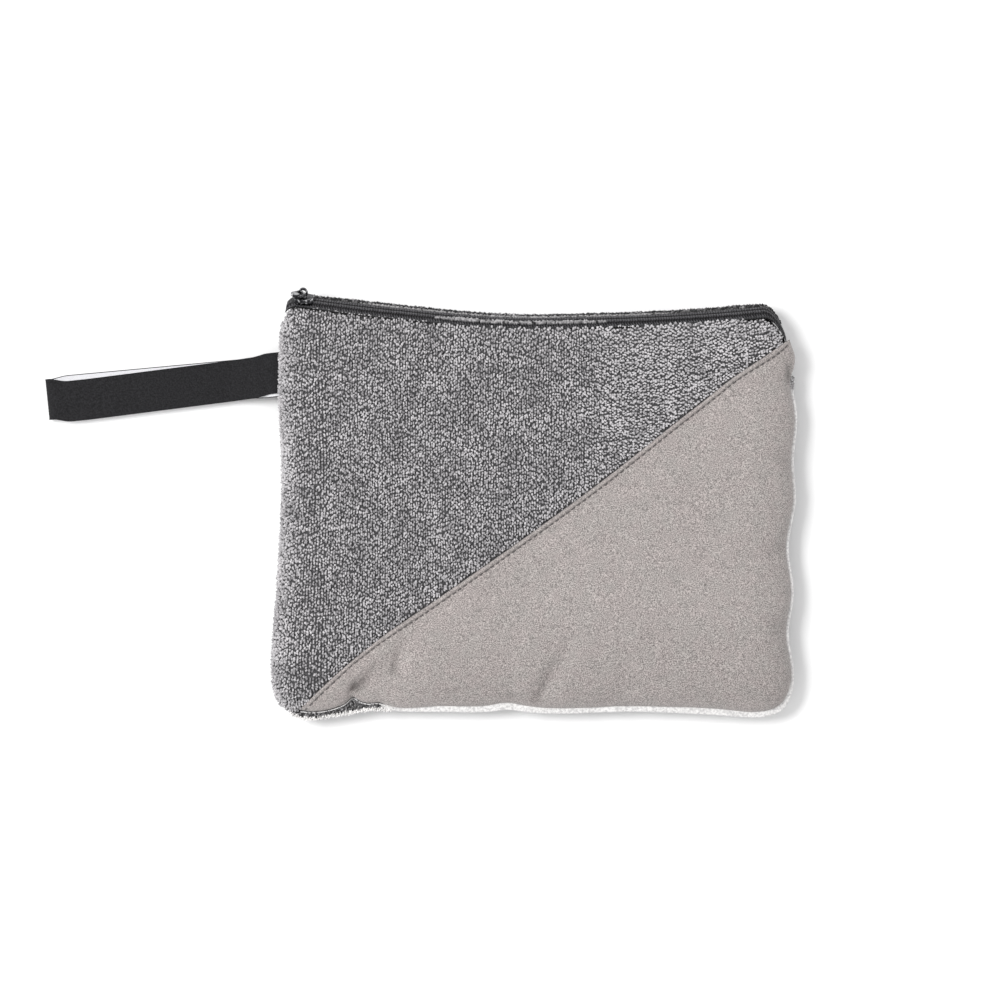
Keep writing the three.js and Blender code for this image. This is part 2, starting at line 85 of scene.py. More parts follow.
# The tape and the cloth beside it turn down past these places, by so much for each millimetre squared.
RIGHT_DROOP_X = 99
LEFT_DROOP_X = 104.5
RIGHT_DROOP = 0.105
LEFT_DROOP = 0.11
SHOULDER_DROOP = 0.045

# The ribbon loop in the left seam.
LOOP_ORIGIN = np.array([-115.35, 59.2, 0])
LOOP_TURN = math.pi + math.radians(5.9)
LOOP_REACH = 101.4
LOOP_GAP = 5.2
LOOP_DROP = 22
RIBBON_WIDTH = 18
RIBBON_THICKNESS = 0.5
LOOP_SKEW = 1.1
LOOP_BOW = 1.8
RIBBON_STEPS = 64

# The pile of the terry.
WALE = 1.1
COURSE = 1.3

# Where the pouch's edges wander from the plain outline, as (along, place) knots.
LEFT_EDGE = [(-86, -116.0), (-68, -116.6), (-40, -114.6), (15, -112.0), (48, -113.4), (84, -112.2)]
RIGHT_EDGE = [
    (-84, 112.6), (-73, 113.4), (-54, 111.0), (-37, 113.2), (-17, 111.0), (4, 114.2),
    (20, 113.2), (38, 114.8), (55, 112.8), (63.5, 114.1), (71, 112.6), (86, 111.0),
]
RIM_EDGE = [
    (-112, -90.4), (-99, -92.2), (-90, -90.8), (-81, -89.2), (-72, -87.9), (-62, -88.6), (-42, -88.9),
    (-22, -88.9), (-12.5, -88.0), (-3, -89.1), (45, -88.8), (78, -90.2), (96, -91.4), (112, -90.6),
]
SMOOTH_EDGE = [
    (-113, -90.0), (-107, -89.6), (-103, -88.6), (-98.5, -89.0), (-92, -88.4), (-87, -87.0), (-83.4, -85.2),
    (-80.4, -82.6), (-77.5, -84.3), (-74, -85.2), (-69, -85.0), (-65, -86.4), (-42, -86.6), (-22, -86.4),
    (-13, -85.1), (-4, -86.6), (45, -86.7), (78, -87.7), (96, -89.2), (112, -88.6),
]
SEAM = [
    (-106, -91.5), (-102.7, -88), (-75.9, -62), (-43, -38.6), (-11.7, -16.7),
    (29.3, 13.2), (67.1, 43.1), (95.3, 64.2), (110.5, 73.6), (116, 76.4),
]

# Each fold of the front: where it is deepest, where it ends, its depth, and its width to either side.
FOLDS = [
    ((-2, -84), (17, -50), 1.5, 2.6, 5),
    ((-80.6, -84.5), (-71.5, -67), 3.0, 0.9, 4.5),
    ((-65, -70), (-56, -50), 1.1, 2.6, 6),
    ((-12.4, -88), (-17, -78), 1.2, 1.4, 2.2),
    ((38, -88), (46.5, -78), 0.8, 0.5, 1.6),
    ((112.5, 55), (108.5, 64), 2.6, 1.0, 2.5),
    ((114, 20), (98, 28), 0.8, 3, 3),
    ((114, -17), (99, -22), 1.0, 3.5, 3.5),
    ((114, -53), (100, -50), 1.0, 3.5, 3.5),
    ((-114, 14), (-92, 6), 1.0, 4, 4),
]

# Painted shade on the smooth knit beside each fold, and painted highlight where the depth is negative.
FOLD_PAINTED_SHADE = [
    ((-80.2, -84.5), (-66, -60), 0.50, 0.5, 2.6),
    ((-63, -72), (-59, -50), 0.28, 2.0, 2.0),
    ((-57.5, -71), (-54, -52), -0.13, 2.2, 3.2),
    ((-1, -86), (18, -45), 0.27, 1.8, 1.8),
    ((5, -84), (24, -47), -0.12, 2.5, 4.5),
    ((-12.2, -85.5), (-16, -78), 0.25, 0.8, 1.6),
    ((-14, -83.2), (-11, -86), -0.35, 0.5, 0.5),
    ((39, -85), (46.5, -78), -0.3, 0.6, 1.0),
    ((112.8, 55), (107.6, 66), 0.45, 1.5, 1.0),
    ((112, 18), (97, 27), 0.10, 2.5, 2.5),
    ((112, -16), (98, -24), 0.10, 3, 3),
    ((112, -51), (99, -48), 0.10, 3, 3),
]


# ---------------------------------------------------------------- numbers and curves

def through(x, knots):
    """A smooth curve through a few (x, y) knots, level beyond its ends."""
    knot_x, knot_y = np.array(knots, float).T
    slope = np.gradient(knot_y, knot_x)
    x = np.clip(x, knot_x[0], knot_x[-1])
    left = np.clip(np.searchsorted(knot_x, x, side="right") - 1, 0, len(knot_x) - 2)
    span = knot_x[left + 1] - knot_x[left]
    t = (x - knot_x[left]) / span
    return (
        (2 * t + 1) * (1 - t) ** 2 * knot_y[left]
        + t * t * (3 - 2 * t) * knot_y[left + 1]
        + span * t * (1 - t) ** 2 * slope[left]
        + span * t * t * (t - 1) * slope[left + 1]
    )


def ease(t):
    """Zero below 0, one above 1 and smooth between."""
    t = np.clip(t, 0, 1)
    return t * t * (3 - 2 * t)


def rolling_field(x, y, wavelength, seed):
    """A smooth random height of about one, whose hills are a wavelength apart."""
    draw = np.random.default_rng(seed)
    total = np.zeros_like(x, float)
    waves = 9
    for _ in range(waves):
        heading = draw.uniform(0, 2 * math.pi)
        pitch = 2 * math.pi / (wavelength * draw.uniform(0.7, 1.5))
        phase = draw.uniform(0, 2 * math.pi)
        total = total + np.sin(pitch * (x * math.cos(heading) + y * math.sin(heading)) + phase)
    return total / math.sqrt(waves)


def crease(x, y, start, end, depth, left, right):
    """A valley from start, where it is deepest, to end, where it has gone, with a width on each side."""
    start, end = np.array(start, float), np.array(end, float)
    run = end - start
    length = np.hypot(*run)
    along = ((x - start[0]) * run[0] + (y - start[1]) * run[1]) / length
    across = ((x - start[0]) * run[1] - (y - start[1]) * run[0]) / length
    width = np.where(across > 0, right, left)
    fade = ease(1 - along / length) * ease(1 + along / 4)
    return -depth * fade * np.exp(-((across / width) ** 2))


def unit(vectors):
    """Each row's direction, at length one."""
    return vectors / np.linalg.norm(vectors, axis=1, keepdims=True)


# ---------------------------------------------------------------- meshes

def put(name, data):
    """A new object in the scene."""
    made = bpy.data.objects.new(name, data)
    bpy.context.scene.collection.objects.link(made)
    return made


def add_piece(name, points, faces, look):
    """A mesh object from points in millimetres."""
    mesh = bpy.data.meshes.new(name)
    mesh.from_pydata((np.asarray(points, float) * MM).tolist(), [], faces)
    mesh.update()
    mesh.materials.append(look)
    mesh.polygons.foreach_set("use_smooth", [True] * len(mesh.polygons))
    return put(name, mesh)


def grid_quads(rows, columns, flip=False, first=0):
    """The faces of a grid of rows by columns of points."""
    corner = (np.arange(rows - 1)[:, None] * columns + np.arange(columns - 1)[None, :]).ravel() + first
    quads = np.stack([corner, corner + columns, corner + columns + 1, corner + 1], 1)
    return (quads[:, ::-1] if flip else quads).tolist()


def slab(upper, lower):
    """Points and faces of a closed sheet between two grids of points."""
    rows, columns = upper.shape[:2]
    count = rows * columns
    points = np.concatenate([upper.reshape(-1, 3), lower.reshape(-1, 3)])
    faces = grid_quads(rows, columns, flip=True) + grid_quads(rows, columns, first=count)
    ring = (
        [(0, j) for j in range(columns)]
        + [(i, columns - 1) for i in range(1, rows)]
        + [(rows - 1, j) for j in range(columns - 2, -1, -1)]
        + [(i, 0) for i in range(rows - 2, 0, -1)]
    )
    index = [i * columns + j for i, j in ring]
    for a, b in zip(index, index[1:] + index[:1]):
        faces.append([b, a, a + count, b + count])
    return points, faces


def turning_frames(path):
    """A side and an up direction at each point of a path, carried along it without twist."""
    tangent = unit(np.gradient(path, axis=0))
    side = np.cross(tangent[0], [0.31, 0.17, 0.93])
    side /= np.linalg.norm(side)
    sides = []
    for t in tangent:
        side = side - t * (side @ t)
        side /= np.linalg.norm(side)
        sides.append(side)
    sides = np.array(sides)
    return sides, np.cross(tangent, sides)


def tube_faces(rings, sides, flip=False):
    """The faces of a closed tube of rings of points, its two ends included."""
    faces = []
    for i in range(rings - 1):
        for j in range(sides):
            k = (j + 1) % sides
            face = [i * sides + j, i * sides + k, (i + 1) * sides + k, (i + 1) * sides + j]
            faces.append(face[:1] + face[:0:-1] if flip else face)
    first = list(range(sides))
    last = [(rings - 1) * sides + j for j in first]
    return faces + ([first, last[::-1]] if flip else [first[::-1], last])


def tube(path, radius, sides):
    """Points and faces of a closed round tube along a path."""
    side, up = turning_frames(path)
    angle = np.arange(sides) / sides * 2 * math.pi
    ring = side[:, None] * np.cos(angle)[None, :, None] + up[:, None] * np.sin(angle)[None, :, None]
    return (path[:, None] + radius * ring).reshape(-1, 3), tube_faces(len(path), sides)


def joined(parts):
    """Several lots of points and faces as one."""
    points, faces, first = [], [], 0
    for some_points, some_faces in parts:
        points.append(some_points)
        faces += [[i + first for i in face] for face in some_faces]
        first += len(some_points)
    return np.concatenate(points), faces


def note(piece, name, values):
    """Keeps a vector for each point, for the material to read."""
    layer = piece.data.attributes.new(name, "FLOAT_VECTOR", "POINT")
    layer.data.foreach_set("vector", np.asarray(values, np.float32).ravel())


def settle(piece, node=None):
    """Makes a piece ride on the pouch and, where there is one, stand for a CAD node."""
    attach(piece, "pouch")
    if node:
        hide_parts(node)
    return piece


def add_thread(name, lines, radius, sides, look, node=None):
    """Round thread along some lines, as one piece."""
    parts = [tube(line, radius, sides) for line in lines]
    return settle(add_piece(name, *joined(parts), look), node)


# ---------------------------------------------------------------- the pouch's shape

def edge_nearness(x, y):
    """Zero in the middle of the pouch and one on its outline."""
    side = np.clip(1 - (HALF_WIDTH - np.abs(x)) / ROLL, 0, None)
    end = np.clip(1 - np.minimum(y - BOTTOM, MOUTH - y) / ROLL, 0, None)
    return (side**CORNER_POWER + end**CORNER_POWER) ** (1 / CORNER_POWER)


def end_at(x):
    """How far the outline's corner has drawn in from the bottom or the mouth at x."""
    side = np.clip(1 - (HALF_WIDTH - np.abs(x)) / ROLL, 0, 1)
    return ROLL * (1 - (1 - side**CORNER_POWER) ** (1 / CORNER_POWER))


def warp(x, y, bottom_edge, right_gap=0.0):
    """Moves the plain outline's points to where the cloth really lies."""
    share = np.clip((y - BOTTOM) / (MOUTH - BOTTOM), 0, 1)
    rise = MOUTH_RISE * ((x - CHAIN_LOW_X) / HALF_WIDTH) ** 2 * share**2
    shoulder = SHOULDER_DROOP * np.clip(x - RIGHT_DROOP_X, 0, None) ** 2
    rise = rise - shoulder * ease((y - MOUTH + ROLL) / ROLL)
    reach = HALF_WIDTH - EDGE_FROM_X
    right = ease((x - EDGE_FROM_X) / reach) * (through(y, RIGHT_EDGE) - HALF_WIDTH - right_gap)
    left = ease((-x - EDGE_FROM_X) / reach) * (through(y, LEFT_EDGE) + HALF_WIDTH)
    down = ease((EDGE_FROM_Y - y) / (EDGE_FROM_Y - BOTTOM)) * (through(x, bottom_edge) - BOTTOM)
    return x + right + left, y + rise + down


def unwarped_y(x, y_real, bottom_edge):
    """The plain outline's y for a real y, by repeated correction."""
    y = np.array(y_real, float)
    for _ in range(12):
        y = y + (y_real - warp(x, y, bottom_edge)[1])
    return y


def front_wrinkles(x, y):
    """The soft hills, folds and tucks of the front."""
    hills = 0.75 * rolling_field(x, y, 62, 3) + 0.22 * rolling_field(x, y, 23, 5)
    over_seam = ease((y - through(x, SEAM)) / 6)
    hills = hills + over_seam * (0.26 * rolling_field(x, y, 15, 7) + 0.12 * rolling_field(x, y, 8, 9))
    return hills + sum(crease(x, y, *fold) for fold in FOLDS)


def fold_painted_shade(x, y):
    """Painted shade (below a half) and painted highlight (above) on the smooth knit: along its folds, darker
    towards the bottom and lighter towards the top.
    """
    painted_folds = sum(crease(x, y, *fold) for fold in FOLD_PAINTED_SHADE)
    foot = 0.07 * ease((-35 - y) / 45) * ease((x + 62) / 30)
    head = 0.03 * ease((y - 10) / 40)
    return 0.5 + (painted_folds - foot + head)


def rim_gap(y):
    """How far the off-white rim shows beside the smooth panel at the right: not at all above the notch."""
    return 0.9 * ease((60 - y) / 8)


def cloth_point(x, y, z, real, pull):
    """A point of cloth at its real place, pulled in from the outline where the cloth turns down."""
    real_x = real[0] - np.sign(x) * pull * (np.abs(x) > HALF_WIDTH - ROLL)
    real_y = real[1] - np.sign(y) * pull * ((y < BOTTOM + ROLL) | (y > MOUTH - ROLL))
    return np.stack([real_x, real_y, z], -1)


def front_surface(x, y, bottom_edge, inset=0.0, right_gap=0.0):
    """A point of the front's outer face, inset millimetres below it."""
    near = np.clip(edge_nearness(x, y), 0, 1)
    swell = np.sqrt(1 - near**2)
    crown = SEAM_Z + (THICKNESS - SEAM_Z - CROWN_ROOM) * swell
    z = crown + front_wrinkles(x, y) * ease(swell * 1.2) - inset * (0.25 + 0.75 * swell)
    return cloth_point(x, y, z, warp(x, y, bottom_edge, right_gap), inset * near**6)


def back_surface(x, y, bottom_edge, inset=0.0):
    """A point of the back's outer face, which lies flat, inset millimetres inside it."""
    near = np.clip(edge_nearness(x, y), 0, 1)
    swell = np.sqrt(1 - near**BACK_POWER)
    z = SEAM_Z - SEAM_Z * swell + inset * (0.25 + 0.75 * swell)
    real_x, real_y = warp(x, y, bottom_edge, BACK_INSET)
    real_y = real_y + BACK_INSET * ease((BOTTOM + ROLL - y) / ROLL) * ease((x + 106) / 12)
    return cloth_point(x, y, z, (real_x, real_y), inset * near**6)


def chain_y(x):
    """The y of the zipper's middle line at x."""
    return CHAIN_CENTRE_Y - np.sqrt(CHAIN_RADIUS**2 - (x - CHAIN_LOW_X) ** 2)


def chain_point(x, s, h):
    """A point on the zipper: s across the tape towards the front, h out of the tape."""
    x, s, h = np.broadcast_arrays(np.asarray(x, float), s, h)
    lean = np.arcsin((x - CHAIN_LOW_X) / CHAIN_RADIUS)
    inward = np.stack([np.sin(lean), -np.cos(lean), np.zeros_like(lean)], -1)
    up = np.array([0, 0, 1.0])
    centre = np.array([CHAIN_LOW_X, CHAIN_CENTRE_Y, CHAIN_Z]) + inward * CHAIN_RADIUS
    across = inward * math.cos(CHAIN_TILT) + up * math.sin(CHAIN_TILT)
    out = -inward * math.sin(CHAIN_TILT) + up * math.cos(CHAIN_TILT)
    return centre + across * s[..., None] + out * h[..., None]


def rolled(count):
    """Places across a rolled edge, evenly spaced along its curve, from the outline inwards."""
    return ROLL * (1 - np.cos(np.linspace(0, math.pi / 2, count)))


def places(low, high, step, roll_low=True, roll_high=True):
    """Places from low to high, a step apart, closer together where the cloth turns down."""
    turn = rolled(16)
    inner_low = low + ROLL if roll_low else low
    inner_high = high - ROLL if roll_high else high
    middle = np.linspace(inner_low, inner_high, int((inner_high - inner_low) / step) + 1)
    parts = [low + turn[:-1]] if roll_low else []
    parts.append(middle)
    if roll_high:
        parts.append((high - turn[:-1])[::-1])
    return np.concatenate(parts)


# ---------------------------------------------------------------- materials

class Look:
    """A node material, with short ways to add its nodes."""

    def __init__(self, name, roughness, sheen=0.0, metallic=0.0, specular=0.5):
        self.material = bpy.data.materials.new(name)
        self.material.use_nodes = True
        self.tree = self.material.node_tree
        self.shader = self.tree.nodes["Principled BSDF"]
        self.shader.inputs["Roughness"].default_value = roughness
        self.shader.inputs["Metallic"].default_value = metallic
        self.shader.inputs["Specular IOR Level"].default_value = specular
        self.shader.inputs["Sheen Weight"].default_value = sheen
        self.shader.inputs["Sheen Roughness"].default_value = 0.6

    def node(self, kind, **settings):
        made = self.tree.nodes.new(kind)
        for key, value in settings.items():
            setattr(made, key, value)
        return made

    def link(self, source, target):
        self.tree.links.new(source, target)

    def millimetres(self, stretch=(1, 1, 1)):
        """Object coordinates in millimetres, so that a pattern keeps its real size."""
        place = self.node("ShaderNodeTexCoord")
        scaled = self.node("ShaderNodeMapping")
        scaled.inputs["Scale"].default_value = [1000 * s for s in stretch]
        self.link(place.outputs["Object"], scaled.inputs["Vector"])
        return scaled.outputs["Vector"]

    def kept(self, name):
        """The X, Y and Z of a vector that the mesh keeps for each point."""
        vector = self.node("ShaderNodeAttribute", attribute_name=name)
        parts = self.node("ShaderNodeSeparateXYZ")
        self.link(vector.outputs["Vector"], parts.inputs["Vector"])
        return parts.outputs

    def noise(self, size, detail=2.0, rough=0.5, vector=None):
        """Noise whose spots are about size millimetres across."""
        made = self.node("ShaderNodeTexNoise")
        made.inputs["Scale"].default_value = 1 / size
        made.inputs["Detail"].default_value = detail
        made.inputs["Roughness"].default_value = rough
        self.link(vector or self.millimetres(), made.inputs["Vector"])
        return made.outputs["Fac"]

    def ramp(self, value, stops):
        """Colours by a value from 0 to 1."""
        made = self.node("ShaderNodeValToRGB")
        elements = made.color_ramp.elements
        while len(elements) < len(stops):
            elements.new(0.5)
        for element, (place, colour) in zip(elements, stops):
            element.position = place
            element.color = (*colour, 1)
        self.link(value, made.inputs["Fac"])
        return made.outputs["Color"]

    def times(self, first, second):
        """Two colours multiplied."""
        made = self.node("ShaderNodeMix", data_type="RGBA", blend_type="MULTIPLY")
        made.inputs[0].default_value = 1.0
        self.link(first, made.inputs[6])
        self.link(second, made.inputs[7])
        return made.outputs[2]

    def maths(self, kind, first, second=0.0, third=0.0):
        """One sum on numbers or sockets."""
        made = self.node("ShaderNodeMath", operation=kind)
        for socket, value in enumerate((first, second, third)):
            if hasattr(value, "is_output"):
                self.link(value, made.inputs[socket])
            else:
                made.inputs[socket].default_value = value
        return made.outputs[0]

    def wave(self, value, pitch):
        """A sine of a value, with one wave to each pitch."""
        return self.maths("SINE", self.maths("MULTIPLY", value, 2 * math.pi / pitch))

    def colour(self, socket):
        """Gives the surface its colour."""
        self.link(socket, self.shader.inputs["Base Color"])

    def roughness(self, socket):
        """Gives the surface its roughness."""
        self.link(socket, self.shader.inputs["Roughness"])

    def bump(self, height, distance):
        """Bump of distance millimetres."""
        made = self.node("ShaderNodeBump")
        made.inputs["Strength"].default_value = 1.0
        made.inputs["Distance"].default_value = distance * MM
        self.link(height, made.inputs["Height"])
        self.link(made.outputs["Normal"], self.shader.inputs["Normal"])


def grey(level):
    """A neutral colour."""
    return (level, level, level)


def pile_look(name, dark, light):
    """Terry loops: each loop a little lighter or darker, in patches, with painted shade towards each loop's
    foot.
    """
    look = Look(name, 0.9, sheen=0.25, specular=0.25)
    own = look.kept("tone")
    tone = look.ramp(own["X"], [(0.0, dark), (1.0, light)])
    # Painted shade: each loop darkens towards its foot, by its height up the loop.
    depth = look.ramp(own["Y"], [(0.0, (0.16, 0.16, 0.17)), (0.6, grey(1))])
    patches = look.ramp(look.noise(9, 3), [(0.35, grey(0.9)), (0.65, (1.06, 1.05, 1.05))])
    shaded = look.times(tone, depth)
    look.colour(look.times(shaded, patches))
    look.bump(look.noise(0.18, 2), 0.08)
    return look.material


def base_look():
    """The knitted ground that the terry loops stand on, near-black as painted shade between the loops."""
    look = Look("shaded_terry_ground", 0.95, specular=0.2)
    look.colour(look.ramp(look.noise(0.8, 3), [(0.3, (0.03, 0.03, 0.033)), (0.7, (0.10, 0.097, 0.10))]))
    look.bump(look.noise(0.6, 2), 0.3)
    return look.material


def smooth_look():
    """Brushed taupe knit: fine salt and pepper grain over soft warm and cool patches."""
    look = Look("taupe_knit", 0.93, sheen=0.2, specular=0.2)
    warm, cool = (0.299, 0.268, 0.260), (0.289, 0.267, 0.257)
    patches = look.ramp(look.noise(7, 4, 0.6), [(0.40, warm), (0.62, cool)])
    pepper, salt = (0.36, 0.35, 0.35), (1.9, 1.9, 1.88)
    grain = look.ramp(look.noise(0.46, 2, 0.8), [(0.34, pepper), (0.5, grey(1)), (0.66, salt)])
    # Painted shade and painted highlight along the folds, read from the fold attribute.
    fold_shading = look.kept("fold")["X"]
    shade = look.ramp(fold_shading, [(0.0, (0.45, 0.44, 0.44)), (0.5, grey(1)), (1.0, grey(1.4))])
    look.colour(look.times(look.times(patches, grain), shade))
    look.bump(look.noise(0.7, 3, 0.7), 0.16)
    return look.material


def thread_look(name, colour):
    """Twisted polyester thread."""
    look = Look(name, 0.6, sheen=0.1)
    dark, light = [[share * c for c in colour] for share in (0.6, 1.5)]
    look.colour(look.ramp(look.noise(0.35, 2), [(0.3, dark), (0.7, light)]))
    look.bump(look.noise(0.25, 1, vector=look.millimetres((0.4, 1, 1))), 0.06)
    return look.material


def rim_look():
    """The off-white edge cloth."""
    look = Look("offwhite_rim", 0.85, sheen=0.2, specular=0.25)
    look.colour(look.ramp(look.noise(1.0, 2), [(0.35, (0.52, 0.51, 0.51)), (0.62, (0.78, 0.77, 0.76))]))
    look.bump(look.noise(0.7, 3), 0.12)
    return look.material


def woven_look(name, dark, light, warp_pitch, weft_pitch, depth):
    """Plain weave drawn in the cloth's own coordinates: X along and Y across, in millimetres."""
    look = Look(name, 0.8, sheen=0.1, specular=0.3)
    cloth = look.kept("cloth")
    along = look.wave(cloth["X"], weft_pitch)
    across = look.wave(cloth["Y"], warp_pitch)
    height = look.maths("MULTIPLY_ADD", look.maths("MULTIPLY", along, across), 0.5, 0.5)
    mixed = look.maths("MULTIPLY_ADD", look.noise(0.5, 2), 0.7, look.maths("MULTIPLY", height, 0.5))
    look.colour(look.ramp(mixed, [(0.25, dark), (0.8, light)]))
    look.bump(height, depth)
    return look.material


def tape_look():
    """Zipper tape: herringbone rows of charcoal yarn between black lines, which run along the tape."""
    look = Look("zipper_tape", 0.85, sheen=0.03, specular=0.2)
    cloth = look.kept("cloth")
    slope = look.maths("ADD", cloth["X"], look.maths("PINGPONG", cloth["Y"], 0.55))
    yarn = look.wave(slope, 1.15)
    weave = look.maths("MULTIPLY_ADD", yarn, 0.2, -0.04)
    mixed = look.maths("MULTIPLY_ADD", look.noise(0.9, 3, 0.7), 1.1, weave)
    rows = look.ramp(mixed, [(0.36, (0.008, 0.008, 0.009)), (0.74, (0.115, 0.112, 0.120))])
    black, plain = grey(0.12), grey(1)
    place = look.maths("MULTIPLY", cloth["Y"], 1 / TAPE_WIDTH)
    lines = look.ramp(place, [
        (0.05, black), (0.14, plain), (0.40, plain), (0.50, black), (0.62, plain), (0.84, plain), (0.93, black),
    ])
    look.colour(look.times(rows, lines))
    look.bump(mixed, 0.25)
    return look.material


def ribbon_look():
    """Black twill ribbon."""
    look = Look("ribbon_black", 0.8, sheen=0.02, specular=0.2)
    cloth = look.kept("cloth")
    slope = look.maths("ADD", cloth["Y"], cloth["X"])
    twill = look.wave(slope, 0.62)
    height = look.maths("MULTIPLY_ADD", twill, 0.5, 0.5)
    mixed = look.maths("MULTIPLY_ADD", look.noise(0.7, 3, 0.7), 0.9, look.maths("MULTIPLY", height, 0.3))
    look.colour(look.ramp(mixed, [(0.46, (0.001, 0.001, 0.0015)), (0.76, (0.022, 0.0215, 0.024))]))
    look.bump(mixed, 0.10)
    return look.material


def metal_look(name, dark, light):
    """Plated zinc, with painted glints in small bright spots."""
    look = Look(name, 0.24, metallic=1.0)
    painted_glint = (0.62, 0.62, 0.63)
    look.colour(look.ramp(look.noise(1.1, 3), [(0.35, dark), (0.58, light), (0.66, painted_glint)]))
    look.roughness(look.ramp(look.noise(0.5, 4), [(0.3, grey(0.16)), (0.7, grey(0.38))]))
    look.bump(look.noise(0.4, 2), 0.01)
    return look.material


def coil_look():
    """Black nylon with a slight sheen."""
    look = Look("nylon_coil", 0.35, specular=0.5)
    look.colour(look.ramp(look.noise(0.8, 2), [(0.3, (0.010, 0.010, 0.012)), (0.7, (0.03, 0.03, 0.034))]))
    look.bump(look.noise(0.3, 1), 0.02)
    return look.material


def floor_look():
    """A plain pale floor."""
    look = Look("studio_floor", 0.9, specular=0.1)
    look.shader.inputs["Base Color"].default_value = (0.92, 0.92, 0.92, 1)
    return look.material


TAPE_WIDTH = 5.2

TERRY_PILE = pile_look("terry_pile", (0.20, 0.193, 0.202), (0.60, 0.587, 0.60))
# Painted shade: the same grey terry made near-black where it lies in shadow, along the zipper's back rim, in
# the tuck and in the notch.
SHADOWED_PILE = pile_look("shadowed_pile", (0.009, 0.0085, 0.0095), (0.44, 0.43, 0.44))
WHITE_PILE = pile_look("white_pile", (0.72, 0.71, 0.70), (0.92, 0.91, 0.90))
SHADED_TERRY_GROUND = base_look()
SMOOTH_KNIT = smooth_look()
RIM_CLOTH = rim_look()
DARK_THREAD = thread_look("stitch_thread", (0.075, 0.066, 0.066))
BLACK_THREAD = thread_look("black_thread", (0.014, 0.014, 0.016))
TAPE = tape_look()
RIBBON_BLACK = ribbon_look()
RIBBON_WHITE = woven_look("ribbon_reverse", (0.55, 0.55, 0.57), (0.80, 0.80, 0.82), 0.5, 0.6, 0.05)
GUNMETAL = metal_look("gunmetal", (0.018, 0.018, 0.020), (0.060, 0.060, 0.065))
# Painted highlight: a lighter copy of the plated metal for the pull tab's broad faces, which catch the light.
HIGHLIGHT_METAL = metal_look("painted_highlight_metal", (0.16, 0.16, 0.165), (0.42, 0.42, 0.43))
COIL = coil_look()


# ---------------------------------------------------------------- camera, light and floor

VIEW_WIDTH = 0.440
VIEW_CENTRE = (-0.016, 0.0044)
CAMERA_HEIGHT = 1.6
SENSOR = 36
FLOOR_REACH = 6.0


def set_stage():
    """A pale floor, a soft key light from the upper left and a camera that looks straight down."""
    camera = bpy.data.cameras.new("camera")
    camera.sensor_width = SENSOR
    camera.lens = SENSOR * CAMERA_HEIGHT / VIEW_WIDTH
    camera.clip_end = 20
    eye = put("camera", camera)
    eye.location = (*VIEW_CENTRE, CAMERA_HEIGHT + SEAM_Z * MM)
    bpy.context.scene.camera = eye

    floor_mesh = bpy.data.meshes.new("floor")
    corners = [(x * FLOOR_REACH, y * FLOOR_REACH, 0) for x, y in ((-1, -1), (1, -1), (1, 1), (-1, 1))]
    floor_mesh.from_pydata(corners, [], [(0, 1, 2, 3)])
    floor_mesh.materials.append(floor_look())
    floor = put("floor", floor_mesh)
    floor.location.z = -0.0002

    key = bpy.data.lights.new("key", "AREA")
    key.shape = "DISK"
    key.size = 0.7
    key.energy = 23
    key_lamp = put("key", key)
    key_lamp.location = (-0.9, 0.3, 1.6)
    key_lamp.rotation_euler = (-key_lamp.location).to_track_quat("-Z", "Y").to_euler()

    world = bpy.data.worlds.new("studio")
    world.use_nodes = True
    world.node_tree.nodes["Background"].inputs["Color"].default_value = (1, 1, 1, 1)
    world.node_tree.nodes["Background"].inputs["Strength"].default_value = 0.86
    bpy.context.scene.world = world
    bpy.context.scene.view_settings.view_transform = "Standard"
    bpy.context.scene.view_settings.look = "None"


set_stage()


# ---------------------------------------------------------------- the front's two panels

FRONT_RIM_GAP = 1.9
SEAM_SLOPE = math.cos(math.radians(38))
BAND_WIDTH = 4.2
GROOVE = 2.05
SMOOTH_START_X = -102.6


def seam_y(x):
    """The plain y of the diagonal seam at x."""
    return unwarped_y(x, through(x, SEAM), SMOOTH_EDGE)


def outline_bottom(x):
    """The plain y of the outline's lower side at x."""
    return BOTTOM + end_at(x)


def front_rim(x):
    """The front's edge beside the zipper, as a plain y, with room for the slider at the open end."""
    slider_room = 1.1 * np.exp(-(((x - 96) / 5) ** 2))
    real = chain_y(x) - FRONT_RIM_GAP - slider_room - tape_droop(x)
    return np.minimum(unwarped_y(x, real, SMOOTH_EDGE), MOUTH - end_at(x))


def column_grid(x, low, high, shares):
    """Points (x, y) in columns from low to high."""
    y = low[:, None] + (high - low)[:, None] * shares[None, :]
    return np.broadcast_to(x[:, None], y.shape), y


def build_front_terry():
    """The ground cloth of the front's terry panel, sunk a little where it runs under the seam."""
    x = places(-HALF_WIDTH, HALF_WIDTH, 2.4)
    low = np.maximum(outline_bottom(x), seam_y(x))
    high = np.maximum(front_rim(x), low + 0.4)
    turn = rolled(12)[:-1] / 165
    shares = np.concatenate([turn, np.linspace(turn[-1] + 0.014, 1, 84)])
    grid_x, grid_y = column_grid(x, low, high, shares)
    on_seam = (low > outline_bottom(x) + 0.5)[:, None]
    sunk = np.exp(-(((grid_y - seam_y(x)[:, None]) / 1.6) ** 2)) * on_seam * 0.35
    outer = front_surface(grid_x, grid_y, SMOOTH_EDGE, PILE_ROOM)
    inner = front_surface(grid_x, grid_y, SMOOTH_EDGE, PILE_ROOM + CLOTH)
    outer[..., 2] -= sunk
    inner[..., 2] -= sunk
    piece = add_piece("front_terry", *slab(outer, inner), SHADED_TERRY_GROUND)
    return settle(piece, "front_terry_panel")


def band_profile(distance):
    """The height of the turned edge beside the seam: a rounded welt, then the groove of its stitches."""
    welt = 0.85 * np.sqrt(np.clip(1 - ((distance - 0.85) / 0.95) ** 2, 0, 1))
    groove = -0.35 * np.exp(-(((distance - GROOVE) / 0.42) ** 2))
    return welt + groove - 0.5 * np.exp(-((distance / 0.3) ** 2))


